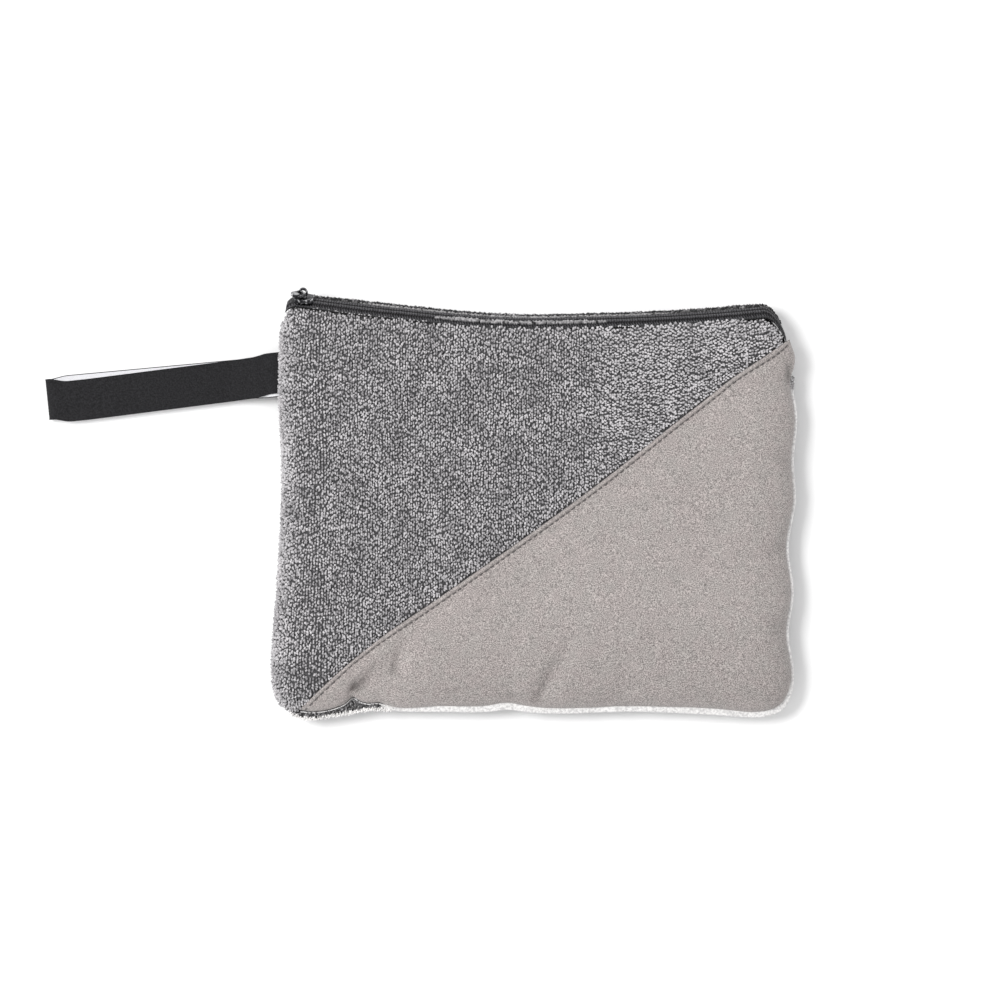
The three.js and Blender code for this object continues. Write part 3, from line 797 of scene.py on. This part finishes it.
def build_front_smooth():
    """The smooth knit panel, with its edge turned under beside the diagonal seam."""
    wavy = np.concatenate([np.arange(SMOOTH_START_X, -90, 1.5), np.arange(-90, -50.5, 0.7)])
    plain = np.arange(-50, HALF_WIDTH - ROLL, 1.7)
    x = np.concatenate([wavy, plain, HALF_WIDTH - rolled(22)[::-1]])
    low = outline_bottom(x)
    high = np.maximum(seam_y(x), low + 0.5)
    distance = np.array([3.4, 2.9, 2.5, 2.25, GROOVE, 1.85, 1.65, 1.4, 1.1, 0.8, 0.5, 0.25, 0.08, 0.0])
    room = np.minimum((high - low) * 0.9, BAND_WIDTH / SEAM_SLOPE)
    turn = rolled(14)[:-1] / 150
    shares = np.concatenate([turn, np.linspace(turn[-1] + 0.012, 1, 96)])
    body_x, body_y = column_grid(x, low, high - room, shares)
    band_y = high[:, None] - distance[None, :] / BAND_WIDTH * room[:, None]
    grid_x = np.concatenate([body_x, np.broadcast_to(x[:, None], band_y.shape)], 1)
    grid_y = np.concatenate([body_y, band_y], 1)
    gap = rim_gap(grid_y)
    outer = front_surface(grid_x, grid_y, SMOOTH_EDGE, SMOOTH_ROOM, gap)
    inner = front_surface(grid_x, grid_y, SMOOTH_EDGE, SMOOTH_ROOM + CLOTH, gap)
    away = (high[:, None] - grid_y) * SEAM_SLOPE
    outer[..., 2] += band_profile(away) * ease((grid_x - SMOOTH_START_X) / 6) + 0.25
    piece = add_piece("front_smooth", *slab(outer, inner), SMOOTH_KNIT)
    # Painted shade and painted highlight of the folds, kept for the material.
    fold_shading = np.zeros((2 * grid_x.size, 3))
    fold_shading[:, 0] = np.tile(fold_painted_shade(grid_x, grid_y).ravel(), 2)
    note(piece, "fold", fold_shading)
    return settle(piece, "front_smooth_panel")


STITCH_PITCH = 3.0
STITCH_LENGTH = 1.75


def build_topstitch():
    """The dashes of dark thread in the groove beside the turned edge."""
    dashes = []
    x = -100.5
    while x < 112:
        steps = np.linspace(x, x + STITCH_LENGTH * SEAM_SLOPE, 7)
        y = seam_y(steps) - GROOVE / SEAM_SLOPE
        line = front_surface(steps, y, SMOOTH_EDGE, SMOOTH_ROOM, rim_gap(y))
        line[:, 2] += 0.12 - 0.6 * np.linspace(-1, 1, len(steps)) ** 4
        dashes.append(line)
        x += STITCH_PITCH * SEAM_SLOPE
    add_thread("topstitch", dashes, 0.33, 6, DARK_THREAD, "diagonal_topstitch")


def build_back():
    """The ground cloth of the back panel."""
    x = places(-HALF_WIDTH, HALF_WIDTH, 3.2)
    shares = (places(BOTTOM, MOUTH, 3.0) - BOTTOM) / (MOUTH - BOTTOM)
    grid_x, grid_y = column_grid(x, outline_bottom(x), MOUTH - end_at(x), shares)
    outer = back_surface(grid_x, grid_y, RIM_EDGE, BACK_ROOM)
    inner = back_surface(grid_x, grid_y, RIM_EDGE, BACK_ROOM + CLOTH)
    piece = add_piece("back_terry", *slab(inner, outer), SHADED_TERRY_GROUND)
    return settle(piece, "back_terry_panel")


# ---------------------------------------------------------------- pile

# A loop's thread has four sides, so that its two ends are quads too.
LOOP_SIDES = 4
LOOP_STEPS = 4

# The length of cloth on a rolled edge.
ROLLED_CLOTH = 28.6


def loop_shape():
    """One loop of pile: an arch of round thread, one unit wide and one high, with its ring directions."""
    turn = np.linspace(math.radians(-25), math.radians(205), LOOP_STEPS + 1)
    line = np.stack([0.5 * np.cos(turn), np.sin(turn)], 1)
    normal = np.stack([np.cos(turn), np.sin(turn)], 1)
    return line, normal


def pile(name, root, normal, along, size, height, thick, look, tone, seed):
    """Loops of pile on given roots, leaning at random, as one mesh."""
    draw = np.random.default_rng(seed)
    count = len(root)
    normal = unit(normal + draw.normal(0, 0.28, (count, 3)))
    along = along + draw.normal(0, 0.42, (count, 3))
    along = unit(along - normal * np.sum(along * normal, 1, keepdims=True))
    side = np.cross(along, normal)
    spreads = ((size, 0.7, 1.3), (height, 0.65, 1.25), (thick, 0.8, 1.25))
    width, tall, radius = [mean * draw.uniform(low, high, count)[:, None, None] for mean, low, high in spreads]
    line, ring = loop_shape()
    angle = np.arange(LOOP_SIDES) / LOOP_SIDES * 2 * math.pi + math.pi / 4
    flat = line[:, :1] * width + ring[:, :1] * np.cos(angle) * radius
    rise = line[:, 1:] * tall + ring[:, 1:] * np.cos(angle) * radius
    out = np.sin(angle) * radius
    root, along, normal, side = [v[:, None, None, :] for v in (root, along, normal, side)]
    points = root + flat[..., None] * along + rise[..., None] * normal + out[..., None] * side
    rings = LOOP_STEPS + 1
    one = np.array(tube_faces(rings, LOOP_SIDES, flip=True))
    faces = one[None] + (np.arange(count) * rings * LOOP_SIDES)[:, None, None]
    piece = add_piece(name, points.reshape(-1, 3), faces.reshape(-1, LOOP_SIDES).tolist(), look)
    values = np.zeros((count, rings, LOOP_SIDES, 3), np.float32)
    values[..., 0] = np.clip(tone + draw.normal(0, 0.26, count), 0, 1)[:, None, None]
    # The Y of tone is the height up each loop, which the material turns into painted shade at the foot.
    values[..., 1] = np.clip(rise / tall, 0, 1)
    note(piece, "tone", values)
    return settle(piece)


def frame_of(surface, x, y):
    """Points of a surface with their outward normals and the direction up the cloth."""
    step = 0.15
    across = surface(x + step, y) - surface(x - step, y)
    along = surface(x, y + step) - surface(x, y - step)
    return surface(x, y), unit(np.cross(across, along)), unit(along)


def lattice(step_x, step_y, y_high):
    """Loop places over the pouch, as close on the rolled edges as on the flat."""
    counts = [int(ROLLED_CLOTH / step) for step in (step_x, step_y)]
    turn_x, turn_y = [ROLL * (1 - np.cos(np.linspace(0.04, math.pi / 2, count))) for count in counts]
    middle_x = np.arange(-HALF_WIDTH + ROLL + step_x, HALF_WIDTH - ROLL, step_x)
    column = np.concatenate([-HALF_WIDTH + turn_x, middle_x, HALF_WIDTH - turn_x[::-1]])
    row = np.concatenate([BOTTOM + turn_y, np.arange(BOTTOM + ROLL + step_y, y_high, step_y)])
    grid_x, grid_y = np.meshgrid(column, row, indexing="ij")
    return grid_x, grid_y + (np.arange(len(column)) % 2)[:, None] * step_y / 2


def build_front_pile():
    """The front's loops, in four bands from left to right; towards the upper right they lie over sideways."""
    x, y = lattice(WALE, COURSE, MOUTH)
    x = (x + dice.normal(0, 0.16, x.shape)).ravel()
    y = (y + dice.normal(0, 0.30, y.shape)).ravel()
    keep = (edge_nearness(x, y) < 0.9995) & (y > seam_y(x) + 0.35) & (y < front_rim(x) + 0.1)
    x, y = x[keep], y[keep]
    lift = PILE_ROOM - 0.1
    root, normal, along = frame_of(lambda a, b: front_surface(a, b, SMOOTH_EDGE, lift), x, y)
    lying = ease((x - 5) / 40) * ease((y - 5) / 30)
    along = along * (1 - lying)[:, None] + np.cross(normal, along) * lying[:, None]
    tone = 0.5 + 0.10 * rolling_field(x, y, 26, 8) + 0.08 * rolling_field(x, y, 9, 12)
    # Painted light: loops lighter where the pile lies over towards the upper right and along the left edge,
    # where the lay of the pile catches the light; the rest of tone is random.
    tone = tone + 0.24 * lying + 0.1 * ease((-x - 100) / 12)
    pieces = []
    for number, (left, right) in enumerate([(-200, -72), (-72, -30), (-30, 18), (18, 200)], 1):
        part = (x >= left) & (x < right)
        pieces.append(pile(
            f"front_pile_{number}", root[part], normal[part], along[part],
            0.62, 0.85, 0.43, TERRY_PILE, tone[part], 20 + number,
        ))
    return pieces


def build_back_pile():
    """The back's loops: close ones round its edge, and wider, lower ones where it lies flat."""
    pieces = []
    for number, (scale, low, high, tall) in enumerate([(1.0, 0.80, 0.9995, 1.0), (1.7, 0.0, 0.80, 0.55)], 1):
        x, y = lattice(WALE * scale, COURSE * scale, MOUTH)
        from_mouth = MOUTH - (y - BOTTOM)
        x = np.concatenate([x.ravel(), x.ravel()])
        y = np.concatenate([y.ravel(), from_mouth.ravel()])
        lower_half = np.arange(len(y)) < len(y) // 2
        x = x + dice.normal(0, 0.16, x.shape)
        y = y + dice.normal(0, 0.25, y.shape)
        near = edge_nearness(x, y)
        keep = (near < high) & (near >= low) & (lower_half == (y < (MOUTH + BOTTOM) / 2))
        x, y = x[keep], y[keep]
        root, normal, along = frame_of(lambda a, b: back_surface(a, b, RIM_EDGE, BACK_ROOM - 0.1), x, y)
        pieces.append(pile(
            f"back_pile_{number}", root, -normal, along,
            0.85 * scale, 0.9 * tall, 0.41 * min(scale, 1.3), TERRY_PILE, 0.42, 40 + number,
        ))
    return pieces


# Each row's place across the tape and above it, the x where it starts and ends, and its tone, where tone 0
# gives a near-black row of painted shade.
LIP_ROWS = [
    (2.6, 1.7, -44, 30, 0.75),
    (2.0, 2.0, -36, 22, 0.7),
    (-2.8, 0.9, -60, 46, 0.5),
    (-3.4, 0.7, -86, 86, 0.0),
    (-4.0, 0.3, -100, 108, 0.0),
    (-4.2, 0.8, -76, 60, 0.65),
    (-4.7, 0.7, -72, 56, 0.8),
    (-5.2, 0.6, -100, 108, 0.0),
    (-5.8, 1.1, -100, 108, 0.0),
    (-6.4, 0.8, -100, 108, 0.0),
    (-7.0, 0.3, -100, 108, 0.0),
]
LIP_HUG = -4.8


def build_back_lip():
    """Rows of pile along the zipper: the back panel's folded rim, and tips that lap over the tape's middle."""
    roots, normals, alongs, tones = [], [], [], []
    for s, h, low, high, tone in LIP_ROWS:
        x = np.arange(low, high, 0.85)
        x = x + dice.normal(0, 0.2, len(x))
        clear = ease((x + 98) / 16) * ease((104 - x) / 14)
        s = np.where(s < LIP_HUG, LIP_HUG + (s - LIP_HUG) * clear, s)
        up = chain_point(x, s, h + 1.0) - chain_point(x, s, h)
        across = chain_point(x, s - 1.0, h) - chain_point(x, s, h)
        roots.append(drooped(chain_point(x, s + dice.normal(0, 0.16, len(x)), h), x))
        normals.append(up + 0.3 * across)
        alongs.append(chain_point(x + 0.5, s, h) - chain_point(x - 0.5, s, h))
        tones.append(np.full(len(x), tone))
    root, normal, along, tone = [np.concatenate(lots) for lots in (roots, normals, alongs, tones)]
    # The near-black pile here is painted shade on the back rim in the tape's shadow.
    return pile("back_lip_pile", root, normal, along, 0.8, 0.8, 0.40, SHADOWED_PILE, tone, 71)


# ---------------------------------------------------------------- the off-white rim

NOTCH_X = 111.9


def rim_path(step=1.2):
    """The plain outline from the bottom left, along the bottom and up the right side."""
    bottom_x = np.arange(-HALF_WIDTH + 8, HALF_WIDTH - ROLL, step)
    bottom_y = np.where(bottom_x < -HALF_WIDTH + ROLL, outline_bottom(bottom_x), BOTTOM)
    turn = np.linspace(math.pi / 2, 0, 26)
    corner_x = HALF_WIDTH - ROLL + ROLL * np.cos(turn) ** (2 / CORNER_POWER)
    corner_y = BOTTOM + ROLL - ROLL * np.sin(turn) ** (2 / CORNER_POWER)
    side_y = np.arange(BOTTOM + ROLL + step, 53, step)
    x = np.concatenate([bottom_x, corner_x, np.full(len(side_y), HALF_WIDTH)])
    return x, np.concatenate([bottom_y, corner_y, side_y])


def even_line(points, step):
    """The same line with points a step apart."""
    length = np.concatenate([[0], np.cumsum(np.linalg.norm(np.diff(points, axis=0), axis=1))])
    place = np.linspace(0, length[-1], int(length[-1] / step))
    return np.stack([np.interp(place, length, column) for column in points.T], 1)


def build_rim():
    """A soft flange of off-white cloth between the panels, wide along the bottom and narrow up the side."""
    plain = rim_path()
    spaced = even_line(np.stack([*warp(*plain, RIM_EDGE), *plain], 1), 1.0)
    line = spaced[:, :2]
    x, y = line.T
    tangent = unit(np.gradient(line, axis=0))
    outward = np.stack([tangent[:, 1], -tangent[:, 0]], 1)
    side = ease((y + 84) / 10) * (x > 0)
    tuck = np.exp(-(((x + 80) / 7) ** 2))
    width = (5.2 - 3.2 * side + 4.0 * tuck) * (0.35 + 0.65 * ease((x + 108) / 8))
    height = 0.85 - 0.1 * side
    under_terry = ease((-64 - x) / 5)
    lift = SEAM_Z + 0.35 - 0.9 * under_terry + 0.3 * rolling_field(x, y, 14, 31)
    sides = 12
    angle = np.arange(sides) / sides * 2 * math.pi
    across = np.cos(angle)[None, :] * width[:, None] / 2 - width[:, None] / 2
    points = np.zeros((len(line), sides, 3))
    points[..., :2] = line[:, None] + outward[:, None, :] * across[..., None]
    points[..., 2] = lift[:, None] + np.sin(angle)[None, :] * height[:, None]
    piece = add_piece("edge_rim", points.reshape(-1, 3), tube_faces(len(line), sides), RIM_CLOTH)
    settle(piece, "edge_piping")


def flange_pile(name, places_x, edge_low, edge_high, spacing, loop, look, tone, height, seed):
    """Loops that stand on the flange between two lines along the rim."""
    draw = np.random.default_rng(seed)
    roots = []
    for x in places_x:
        for y in np.arange(edge_low(x), edge_high(x), spacing):
            roots.append((x + draw.normal(0, 0.15), y + draw.normal(0, 0.15), height))
    normal = np.tile([0.0, -0.2, 1.0], (len(roots), 1))
    along = np.tile([0.3, 1.0, 0.2], (len(roots), 1))
    pile(name, np.array(roots), normal, along, loop, loop, 0.45 * loop, look, tone, seed)


def bottom_line(edge, above):
    """A line along the bottom, at a height above one of the edges, as a real y for a plain x."""
    return lambda x: float(warp(np.array(x), outline_bottom(np.array(x)), edge)[1]) + above


def build_flange_piles():
    """The terry seen in the tuck and along the bottom left, its fuzzy edge, and a bit at the right."""
    # The tuck and notch loops take the near-black pile of painted shade.
    flange_pile(
        "tuck_pile", np.arange(-107, -68, 0.8), bottom_line(RIM_EDGE, 1.4), bottom_line(SMOOTH_EDGE, 0.5),
        0.75, 0.8, SHADOWED_PILE, 0.2, SEAM_Z + 0.5, 61,
    )
    flange_pile(
        "rim_fuzz", np.arange(-108, -64, 0.65), bottom_line(RIM_EDGE, -0.1), bottom_line(RIM_EDGE, 1.2),
        0.55, 0.65, WHITE_PILE, 0.5, SEAM_Z + 0.5, 62,
    )
    flange_pile(
        "notch_pile", np.arange(NOTCH_X, NOTCH_X + 1.2, 0.55), lambda x: 53.6, lambda x: 58.6,
        0.7, 0.6, SHADOWED_PILE, 0.6, SEAM_Z + 0.4, 63,
    )


def build_edge_highlight():
    """A painted highlight along the smooth panel's turned edge at the bottom left: a thin pale line."""
    x = np.arange(-102, -62, 0.8)
    real_x, real_y = warp(x, outline_bottom(x), SMOOTH_EDGE)
    line = np.stack([real_x, real_y - 0.2, np.full(len(x), SEAM_Z + 1.15)], 1)
    add_thread("edge_highlight", [line], 0.27, 6, RIM_CLOTH)


def build_side_seam():
    """The thread of the side and bottom seams, just inside the outline."""
    inset = 3.4
    low_x, low_y = -HALF_WIDTH + inset, BOTTOM + inset
    radius = 12
    turn = np.linspace(0, math.pi / 2, 10)
    left_corner = [(low_x + radius - radius * math.cos(t), low_y + radius - radius * math.sin(t)) for t in turn]
    right_corner = [(-p, q) for p, q in left_corner[::-1]]
    rise = [(low_x, q) for q in np.arange(76, low_y + radius, -4)]
    run = [(p, low_y) for p in np.arange(low_x + radius + 2, -low_x - radius, 4)]
    climb = [(-low_x, q) for q in np.arange(low_y + radius + 2, 76, 4)]
    plain = np.array(rise + left_corner + run + right_corner + climb)
    x, y = warp(plain[:, 0], plain[:, 1], RIM_EDGE)
    line = even_line(np.stack([x, y, np.full(len(x), SEAM_Z)], 1), 2.0)
    add_thread("seam_thread", [line], 0.35, 6, BLACK_THREAD, "side_seam_thread")


# ---------------------------------------------------------------- zipper

TAPE_THICKNESS = 0.45
TAPE_RISE = 1.75
TAPE_ENDS_X = (-109.8, 109.8)
HALVES = {1: "front", -1: "back"}
ENDS = {1: "right", -1: "left"}
TACK_REACH = 2.7
TACK_START = 106.0
TACK_PITCH = 0.42
TACK_WINDS = 4
MOUTH_SAG = 1.0
MOUTH_SAG_X = -14
MOUTH_SAG_REACH = 30
COIL_PITCH = 1.25

# The slider at rest: where it is, half its length, how much shorter it is than in the frame and how far
# further in, and its bridge's pin; then how the tab lies over and swings aside.
SLIDER_X = -100.488
SLIDER_HALF = 5.2
SLIDER_SQUEEZE = 0.86
SLIDER_ADVANCE = 1.2
BRIDGE_ALONG = -0.6
PIN_HEIGHT = 4.8
TAB_LAY = math.radians(16)
TAB_SWING = math.radians(46)


def tape_droop(x):
    """How far the tape sags near the middle, and turns down round the pouch's two corners."""
    sag = MOUTH_SAG * np.exp(-(((x - MOUTH_SAG_X) / MOUTH_SAG_REACH) ** 2))
    right = RIGHT_DROOP * np.clip(x - RIGHT_DROOP_X, 0, None) ** 2
    left = LEFT_DROOP * np.clip(-x - LEFT_DROOP_X, 0, None) ** 2
    return sag + right + left


def drooped(points, x):
    """Points on the plain chain, moved to where the tape lies at x."""
    droop = tape_droop(x)
    return points - np.stack([0 * droop, droop, 0.5 * droop], -1)


def build_tape(side):
    """One half of the tape, folded over the coil."""
    x = np.linspace(*TAPE_ENDS_X, 160)
    across = np.array([0.16, 0.3, 0.6, 1.1, 1.6, 2.1, 2.5, 2.8, 3.05, 3.3, 3.6, 4.0, 4.6, TAPE_WIDTH])
    grid_x = np.broadcast_to(x[:, None], (len(x), len(across)))
    lower, upper = [
        drooped(chain_point(grid_x, side * across, over_coil(across) + h), grid_x) for h in (0, TAPE_THICKNESS)
    ]
    points, faces = slab(upper, lower) if side > 0 else slab(lower, upper)
    piece = add_piece(f"tape_{HALVES[side]}", points, faces, TAPE)
    cloth = np.stack([grid_x, np.broadcast_to(across, grid_x.shape), grid_x * 0], -1).reshape(-1, 3)
    note(piece, "cloth", np.concatenate([cloth, cloth]))
    settle(piece, f"zipper_tape_{HALVES[side]}")


def over_coil(across):
    """How far the tape stands over its own level where it folds over the coil."""
    return TAPE_RISE * (1 - ease((across - 2.1) / 1.3)) - 0.35 * np.exp(-(((across - 0.16) / 0.2) ** 2))


def build_end_tack(side):
    """A bar of thread wound across the chain at one end, over both halves of the tape."""
    s = np.linspace(-TACK_REACH, TACK_REACH, 15)
    h = over_coil(np.abs(s)) + TAPE_THICKNESS + 0.12 - 0.5 * (np.abs(s) / TACK_REACH) ** 6
    winds = []
    for step in range(TACK_WINDS):
        x = np.full(len(s), side * (TACK_START + TACK_PITCH * step))
        winds.append(drooped(chain_point(x, s, h), x))
    name = f"end_tack_{ENDS[side]}"
    add_thread(name, winds, 0.24, 6, BLACK_THREAD, f"zipper_{name}")


def build_tape_stitch(side):
    """The lockstitch that holds one half of the tape to its panel."""
    x = np.arange(-104, 104, 0.75)
    wave = 0.14 * np.sin(2 * math.pi * x / 2.5)
    line = drooped(chain_point(x, side * 4.1, TAPE_THICKNESS + 0.1 + wave), x)
    name = HALVES[side]
    add_thread(f"tape_stitch_{name}", [line], 0.2, 6, BLACK_THREAD, f"zipper_stitch_{name}")


def build_coil(side):
    """One half of the nylon coil, a flattened helix that meshes with the other half."""
    turns = int(2 * CHAIN_END_X / COIL_PITCH)
    per_turn = 12
    t = np.arange(turns * per_turn) / per_turn
    angle = t * 2 * math.pi
    x = -CHAIN_END_X + t * COIL_PITCH + (COIL_PITCH / 2 if side > 0 else 0)
    s = side * (1.12 - 1.18 * np.cos(angle))
    line = chain_point(np.clip(x, -CHAIN_END_X, CHAIN_END_X), s, 0.95 + 0.42 * np.sin(angle))
    name = f"coil_{HALVES[side]}"
    add_thread(name, [drooped(line, line[:, 0])], 0.25, 5, COIL, f"zipper_{name}")


def soft_casting(node):
    """A copy of a CAD metal part with its edges rounded as a plated casting's are."""
    piece = put(f"{node}_casting", nodes[node].data.copy())
    weld = piece.modifiers.new("weld", "WELD")
    weld.merge_threshold = 0.02 * MM
    bevel = piece.modifiers.new("bevel", "BEVEL")
    bevel.width = 0.22 * MM
    bevel.segments = 3
    bevel.limit_method = "ANGLE"
    bevel.angle_limit = math.radians(40)
    graph = bpy.context.evaluated_depsgraph_get()
    mesh = bpy.data.meshes.new_from_object(piece.evaluated_get(graph))
    piece.modifiers.clear()
    piece.data = mesh
    mesh.materials.clear()
    mesh.materials.append(GUNMETAL)
    mesh.materials.append(HIGHLIGHT_METAL)
    mesh.polygons.foreach_set("use_smooth", [True] * len(mesh.polygons))
    mesh.set_sharp_from_angle(angle=math.radians(35))
    return piece


def build_slider():
    """The slider, closed up against the end of the chain, and its pull tab hanging askew in the bridge."""
    centre = chain_point(SLIDER_X, 0.0, 0.0)
    across = chain_point(SLIDER_X, 1.0, 0.0) - centre
    out = chain_point(SLIDER_X, 0.0, 1.0) - centre
    turn = np.stack([np.cross(out, across), across, out])
    pin = np.array([BRIDGE_ALONG, 0.0, PIN_HEIGHT])
    body, tab = soft_casting("slider_body"), soft_casting("pull_tab")
    for piece in (body, tab):
        points = np.array([v.co[:] for v in piece.data.vertices]) / MM
        local = (points - centre) @ turn.T
        if piece is tab:
            shift = [SLIDER_HALF * (1 - SLIDER_SQUEEZE), 0, 0]
            local = askew(local - pin) + pin * [SLIDER_SQUEEZE, 1, 1] - shift
        else:
            local[:, 0] = (local[:, 0] + SLIDER_HALF) * SLIDER_SQUEEZE - SLIDER_HALF
        local[:, 0] -= SLIDER_ADVANCE
        moved = (local @ turn + centre) * MM
        piece.data.vertices.foreach_set("co", moved.ravel())
        piece.data.update()
    # Painted highlight: the tab's broad faces take the lighter copy of the metal, and its edges the dark one.
    for face in tab.data.polygons:
        face.material_index = 1 if face.area > 2 * MM * MM else 0
    for piece, name, node in ((body, "slider", "slider_body"), (tab, "pull_tab", "pull_tab")):
        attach(piece, name)
        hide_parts(node)


def askew(points):
    """The tab's points, about its pin, laid nearer the tape and swung over the slider's crown."""
    lay, swing = TAB_LAY, TAB_SWING
    along = points[:, 0] * math.cos(lay) - points[:, 2] * math.sin(lay)
    out = points[:, 0] * math.sin(lay) + points[:, 2] * math.cos(lay)
    turned = along * math.cos(swing) + points[:, 1] * math.sin(swing)
    across = -along * math.sin(swing) + points[:, 1] * math.cos(swing)
    return np.stack([turned, across, out], -1)


# ---------------------------------------------------------------- ribbon loop

def ribbon_line():
    """The ribbon's path in the loop's own frame, and at each point its share of the lower layer."""
    upper_z = RIBBON_THICKNESS / 2 + LOOP_GAP + RIBBON_THICKNESS
    lower_z = RIBBON_THICKNESS / 2 + 0.05
    out = np.linspace(-4.5, LOOP_REACH - 3.2, RIBBON_STEPS)
    down = ease(out / LOOP_DROP)
    ripple = 0.55 * np.exp(-(((out - 9) / 2.2) ** 2)) - 0.45 * np.exp(-(((out - 4.5) / 1.6) ** 2))
    upper = SEAM_Z + 0.30 + (upper_z - SEAM_Z - 0.30) * down + ripple + 0.25 * np.sin(out / 17) * down
    lower = SEAM_Z - 0.30 + (lower_z - SEAM_Z + 0.30) * ease(out / (LOOP_DROP * 0.8))
    turn = np.linspace(math.pi / 2, -math.pi / 2, 15)[1:-1]
    middle = (upper[-1] + lower[-1]) / 2
    half = (upper[-1] - lower[-1]) / 2
    fold = np.stack([out[-1] + 3.0 * np.cos(turn), middle + half * np.sin(turn)], 1)
    line = np.concatenate([np.stack([out, upper], 1), fold, np.stack([out, lower], 1)[::-1]])
    return line, np.concatenate([np.zeros(RIBBON_STEPS), (1 - np.sin(turn)) / 2, np.ones(RIBBON_STEPS)])


def build_ribbon():
    """The ribbon, black outside and white inside, with its lower layer slipped out of line."""
    line, below = ribbon_line()
    tangent = unit(np.gradient(line, axis=0))
    outward = np.stack([-tangent[:, 1], tangent[:, 0]], 1)
    edge = RIBBON_WIDTH / 2
    rims = [-edge, 0.35 - edge, 0.7 - edge], [edge - 0.7, edge - 0.35, edge]
    across = np.concatenate([rims[0], np.linspace(-7, 7, 9), rims[1]])
    selvedge = 0.08 * (np.abs(across) > edge - 0.4)
    out = line[:, 0]
    near_fold = ease((LOOP_REACH - 1 - out) / 9)
    bow = LOOP_BOW * near_fold * np.clip((out - 8) / 75, 0, 1)
    slip = -LOOP_SKEW * near_fold * np.clip(out / LOOP_REACH, 0, 1)
    at_seam = -1.0 * ease((9 - out) / 7) * (1 - below) + 0.5 * ease((12 - out) / 8) * below
    skew = bow * (1 - below) + slip * below + at_seam
    grids = []
    for sign in (1, -1):
        offset = sign * (RIBBON_THICKNESS / 2 + selvedge)[None, :]
        p = line[:, 0][:, None] + outward[:, 0][:, None] * offset
        r = line[:, 1][:, None] + outward[:, 1][:, None] * offset
        q = across[None, :] + skew[:, None]
        grids.append(place_in_loop(np.stack([p, q, np.maximum(r, 0.03)], -1)))
    piece = add_piece("ribbon", *slab(*grids), RIBBON_BLACK)
    piece.data.materials.append(RIBBON_WHITE)
    rows, columns = len(line), len(across)
    count = (rows - 1) * (columns - 1)
    for index in range(count, 2 * count):
        if 0 < index % (columns - 1) < columns - 2:
            piece.data.polygons[index].material_index = 1
    run = np.concatenate([[0], np.cumsum(np.linalg.norm(np.diff(line, axis=0), axis=1))])
    grid_run, grid_across = np.meshgrid(run, across, indexing="ij")
    cloth = np.stack([grid_run, grid_across, 0 * grid_run], -1).reshape(-1, 3)
    note(piece, "cloth", np.concatenate([cloth, cloth]))
    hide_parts("hang_loop")
    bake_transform(piece)


def place_in_loop(points):
    """Points from the loop's frame, x outwards, to the pouch's."""
    turned = np.empty_like(points)
    turned[..., 0] = points[..., 0] * math.cos(LOOP_TURN) - points[..., 1] * math.sin(LOOP_TURN)
    turned[..., 1] = points[..., 0] * math.sin(LOOP_TURN) + points[..., 1] * math.cos(LOOP_TURN)
    turned[..., 2] = points[..., 2]
    return turned + LOOP_ORIGIN


# ---------------------------------------------------------------- folded towel

TOWEL_LAYERS = 5
TOWEL_LOW_Z = 4.6
TOWEL_DEPTH = 148
TOWEL_PITCH = 3.7
TOWEL_HALF = 97
PLY = 0.9
PLY_THICKNESS = 1.3


def towel_path():
    """The zigzag that the doubled towel takes, as (y, z) points with their normals."""
    turn_radius = TOWEL_PITCH / 2
    run = TOWEL_DEPTH / 2 - turn_radius - 2
    middle_y = (MOUTH + BOTTOM) / 2
    points = []
    for layer in range(TOWEL_LAYERS):
        way = 1 if layer % 2 == 0 else -1
        z = TOWEL_LOW_Z + layer * TOWEL_PITCH
        for y in np.linspace(-run, run, 24):
            points.append((middle_y + way * y, z))
        if layer < TOWEL_LAYERS - 1:
            for turn in np.linspace(-math.pi / 2, math.pi / 2, 10)[1:-1]:
                y = middle_y + way * (run + turn_radius * math.cos(turn))
                points.append((y, z + turn_radius + turn_radius * math.sin(turn)))
    points = np.array(points)
    tangent = unit(np.gradient(points, axis=0))
    return points, np.stack([-tangent[:, 1], tangent[:, 0]], 1)


def build_towel():
    """The towel, doubled across its width and then folded in five."""
    line, normal = towel_path()
    edge = TOWEL_HALF - PLY
    turn = np.linspace(math.pi / 2, -math.pi / 2, 7)[1:-1]
    flat = np.linspace(edge, -edge, 30)
    x = np.concatenate([flat, -edge - PLY * np.cos(turn), flat[::-1]])
    level = np.concatenate([np.ones(30), np.sin(turn), -np.ones(30)]) * PLY
    ply = unit(np.gradient(np.stack([x, level], 1), axis=0))
    grids = []
    for sign in (1, -1):
        offset = sign * PLY_THICKNESS / 2
        ply_x = x - ply[:, 1] * offset
        ply_level = (level + ply[:, 0] * offset)[None, :]
        y = line[:, 0][:, None] + normal[:, 0][:, None] * ply_level
        z = line[:, 1][:, None] + normal[:, 1][:, None] * ply_level
        grids.append(np.stack([np.broadcast_to(ply_x, y.shape), y, z], -1))
    piece = settle(add_piece("towel", *slab(*grids), SHADED_TERRY_GROUND), "folded_towel")


# ---------------------------------------------------------------- everything

def dress_hidden_nodes():
    """The CAD pieces that stay as they are get their thread and ribbon."""
    for node, look in (("loop_tack", BLACK_THREAD), ("hang_loop_tail", RIBBON_BLACK)):
        nodes[node].data.materials.clear()
        nodes[node].data.materials.append(look)


front_terry = build_front_terry()
front_smooth = build_front_smooth()
back_terry = build_back()
build_topstitch()
front_piles = build_front_pile()
back_piles = build_back_pile() + [build_back_lip()]
build_rim()
build_flange_piles()
build_edge_highlight()
build_side_seam()
for half in (1, -1):
    build_tape(half)
    build_coil(half)
    build_end_tack(half)
    build_tape_stitch(half)
build_slider()
build_ribbon()
build_towel()
dress_hidden_nodes()
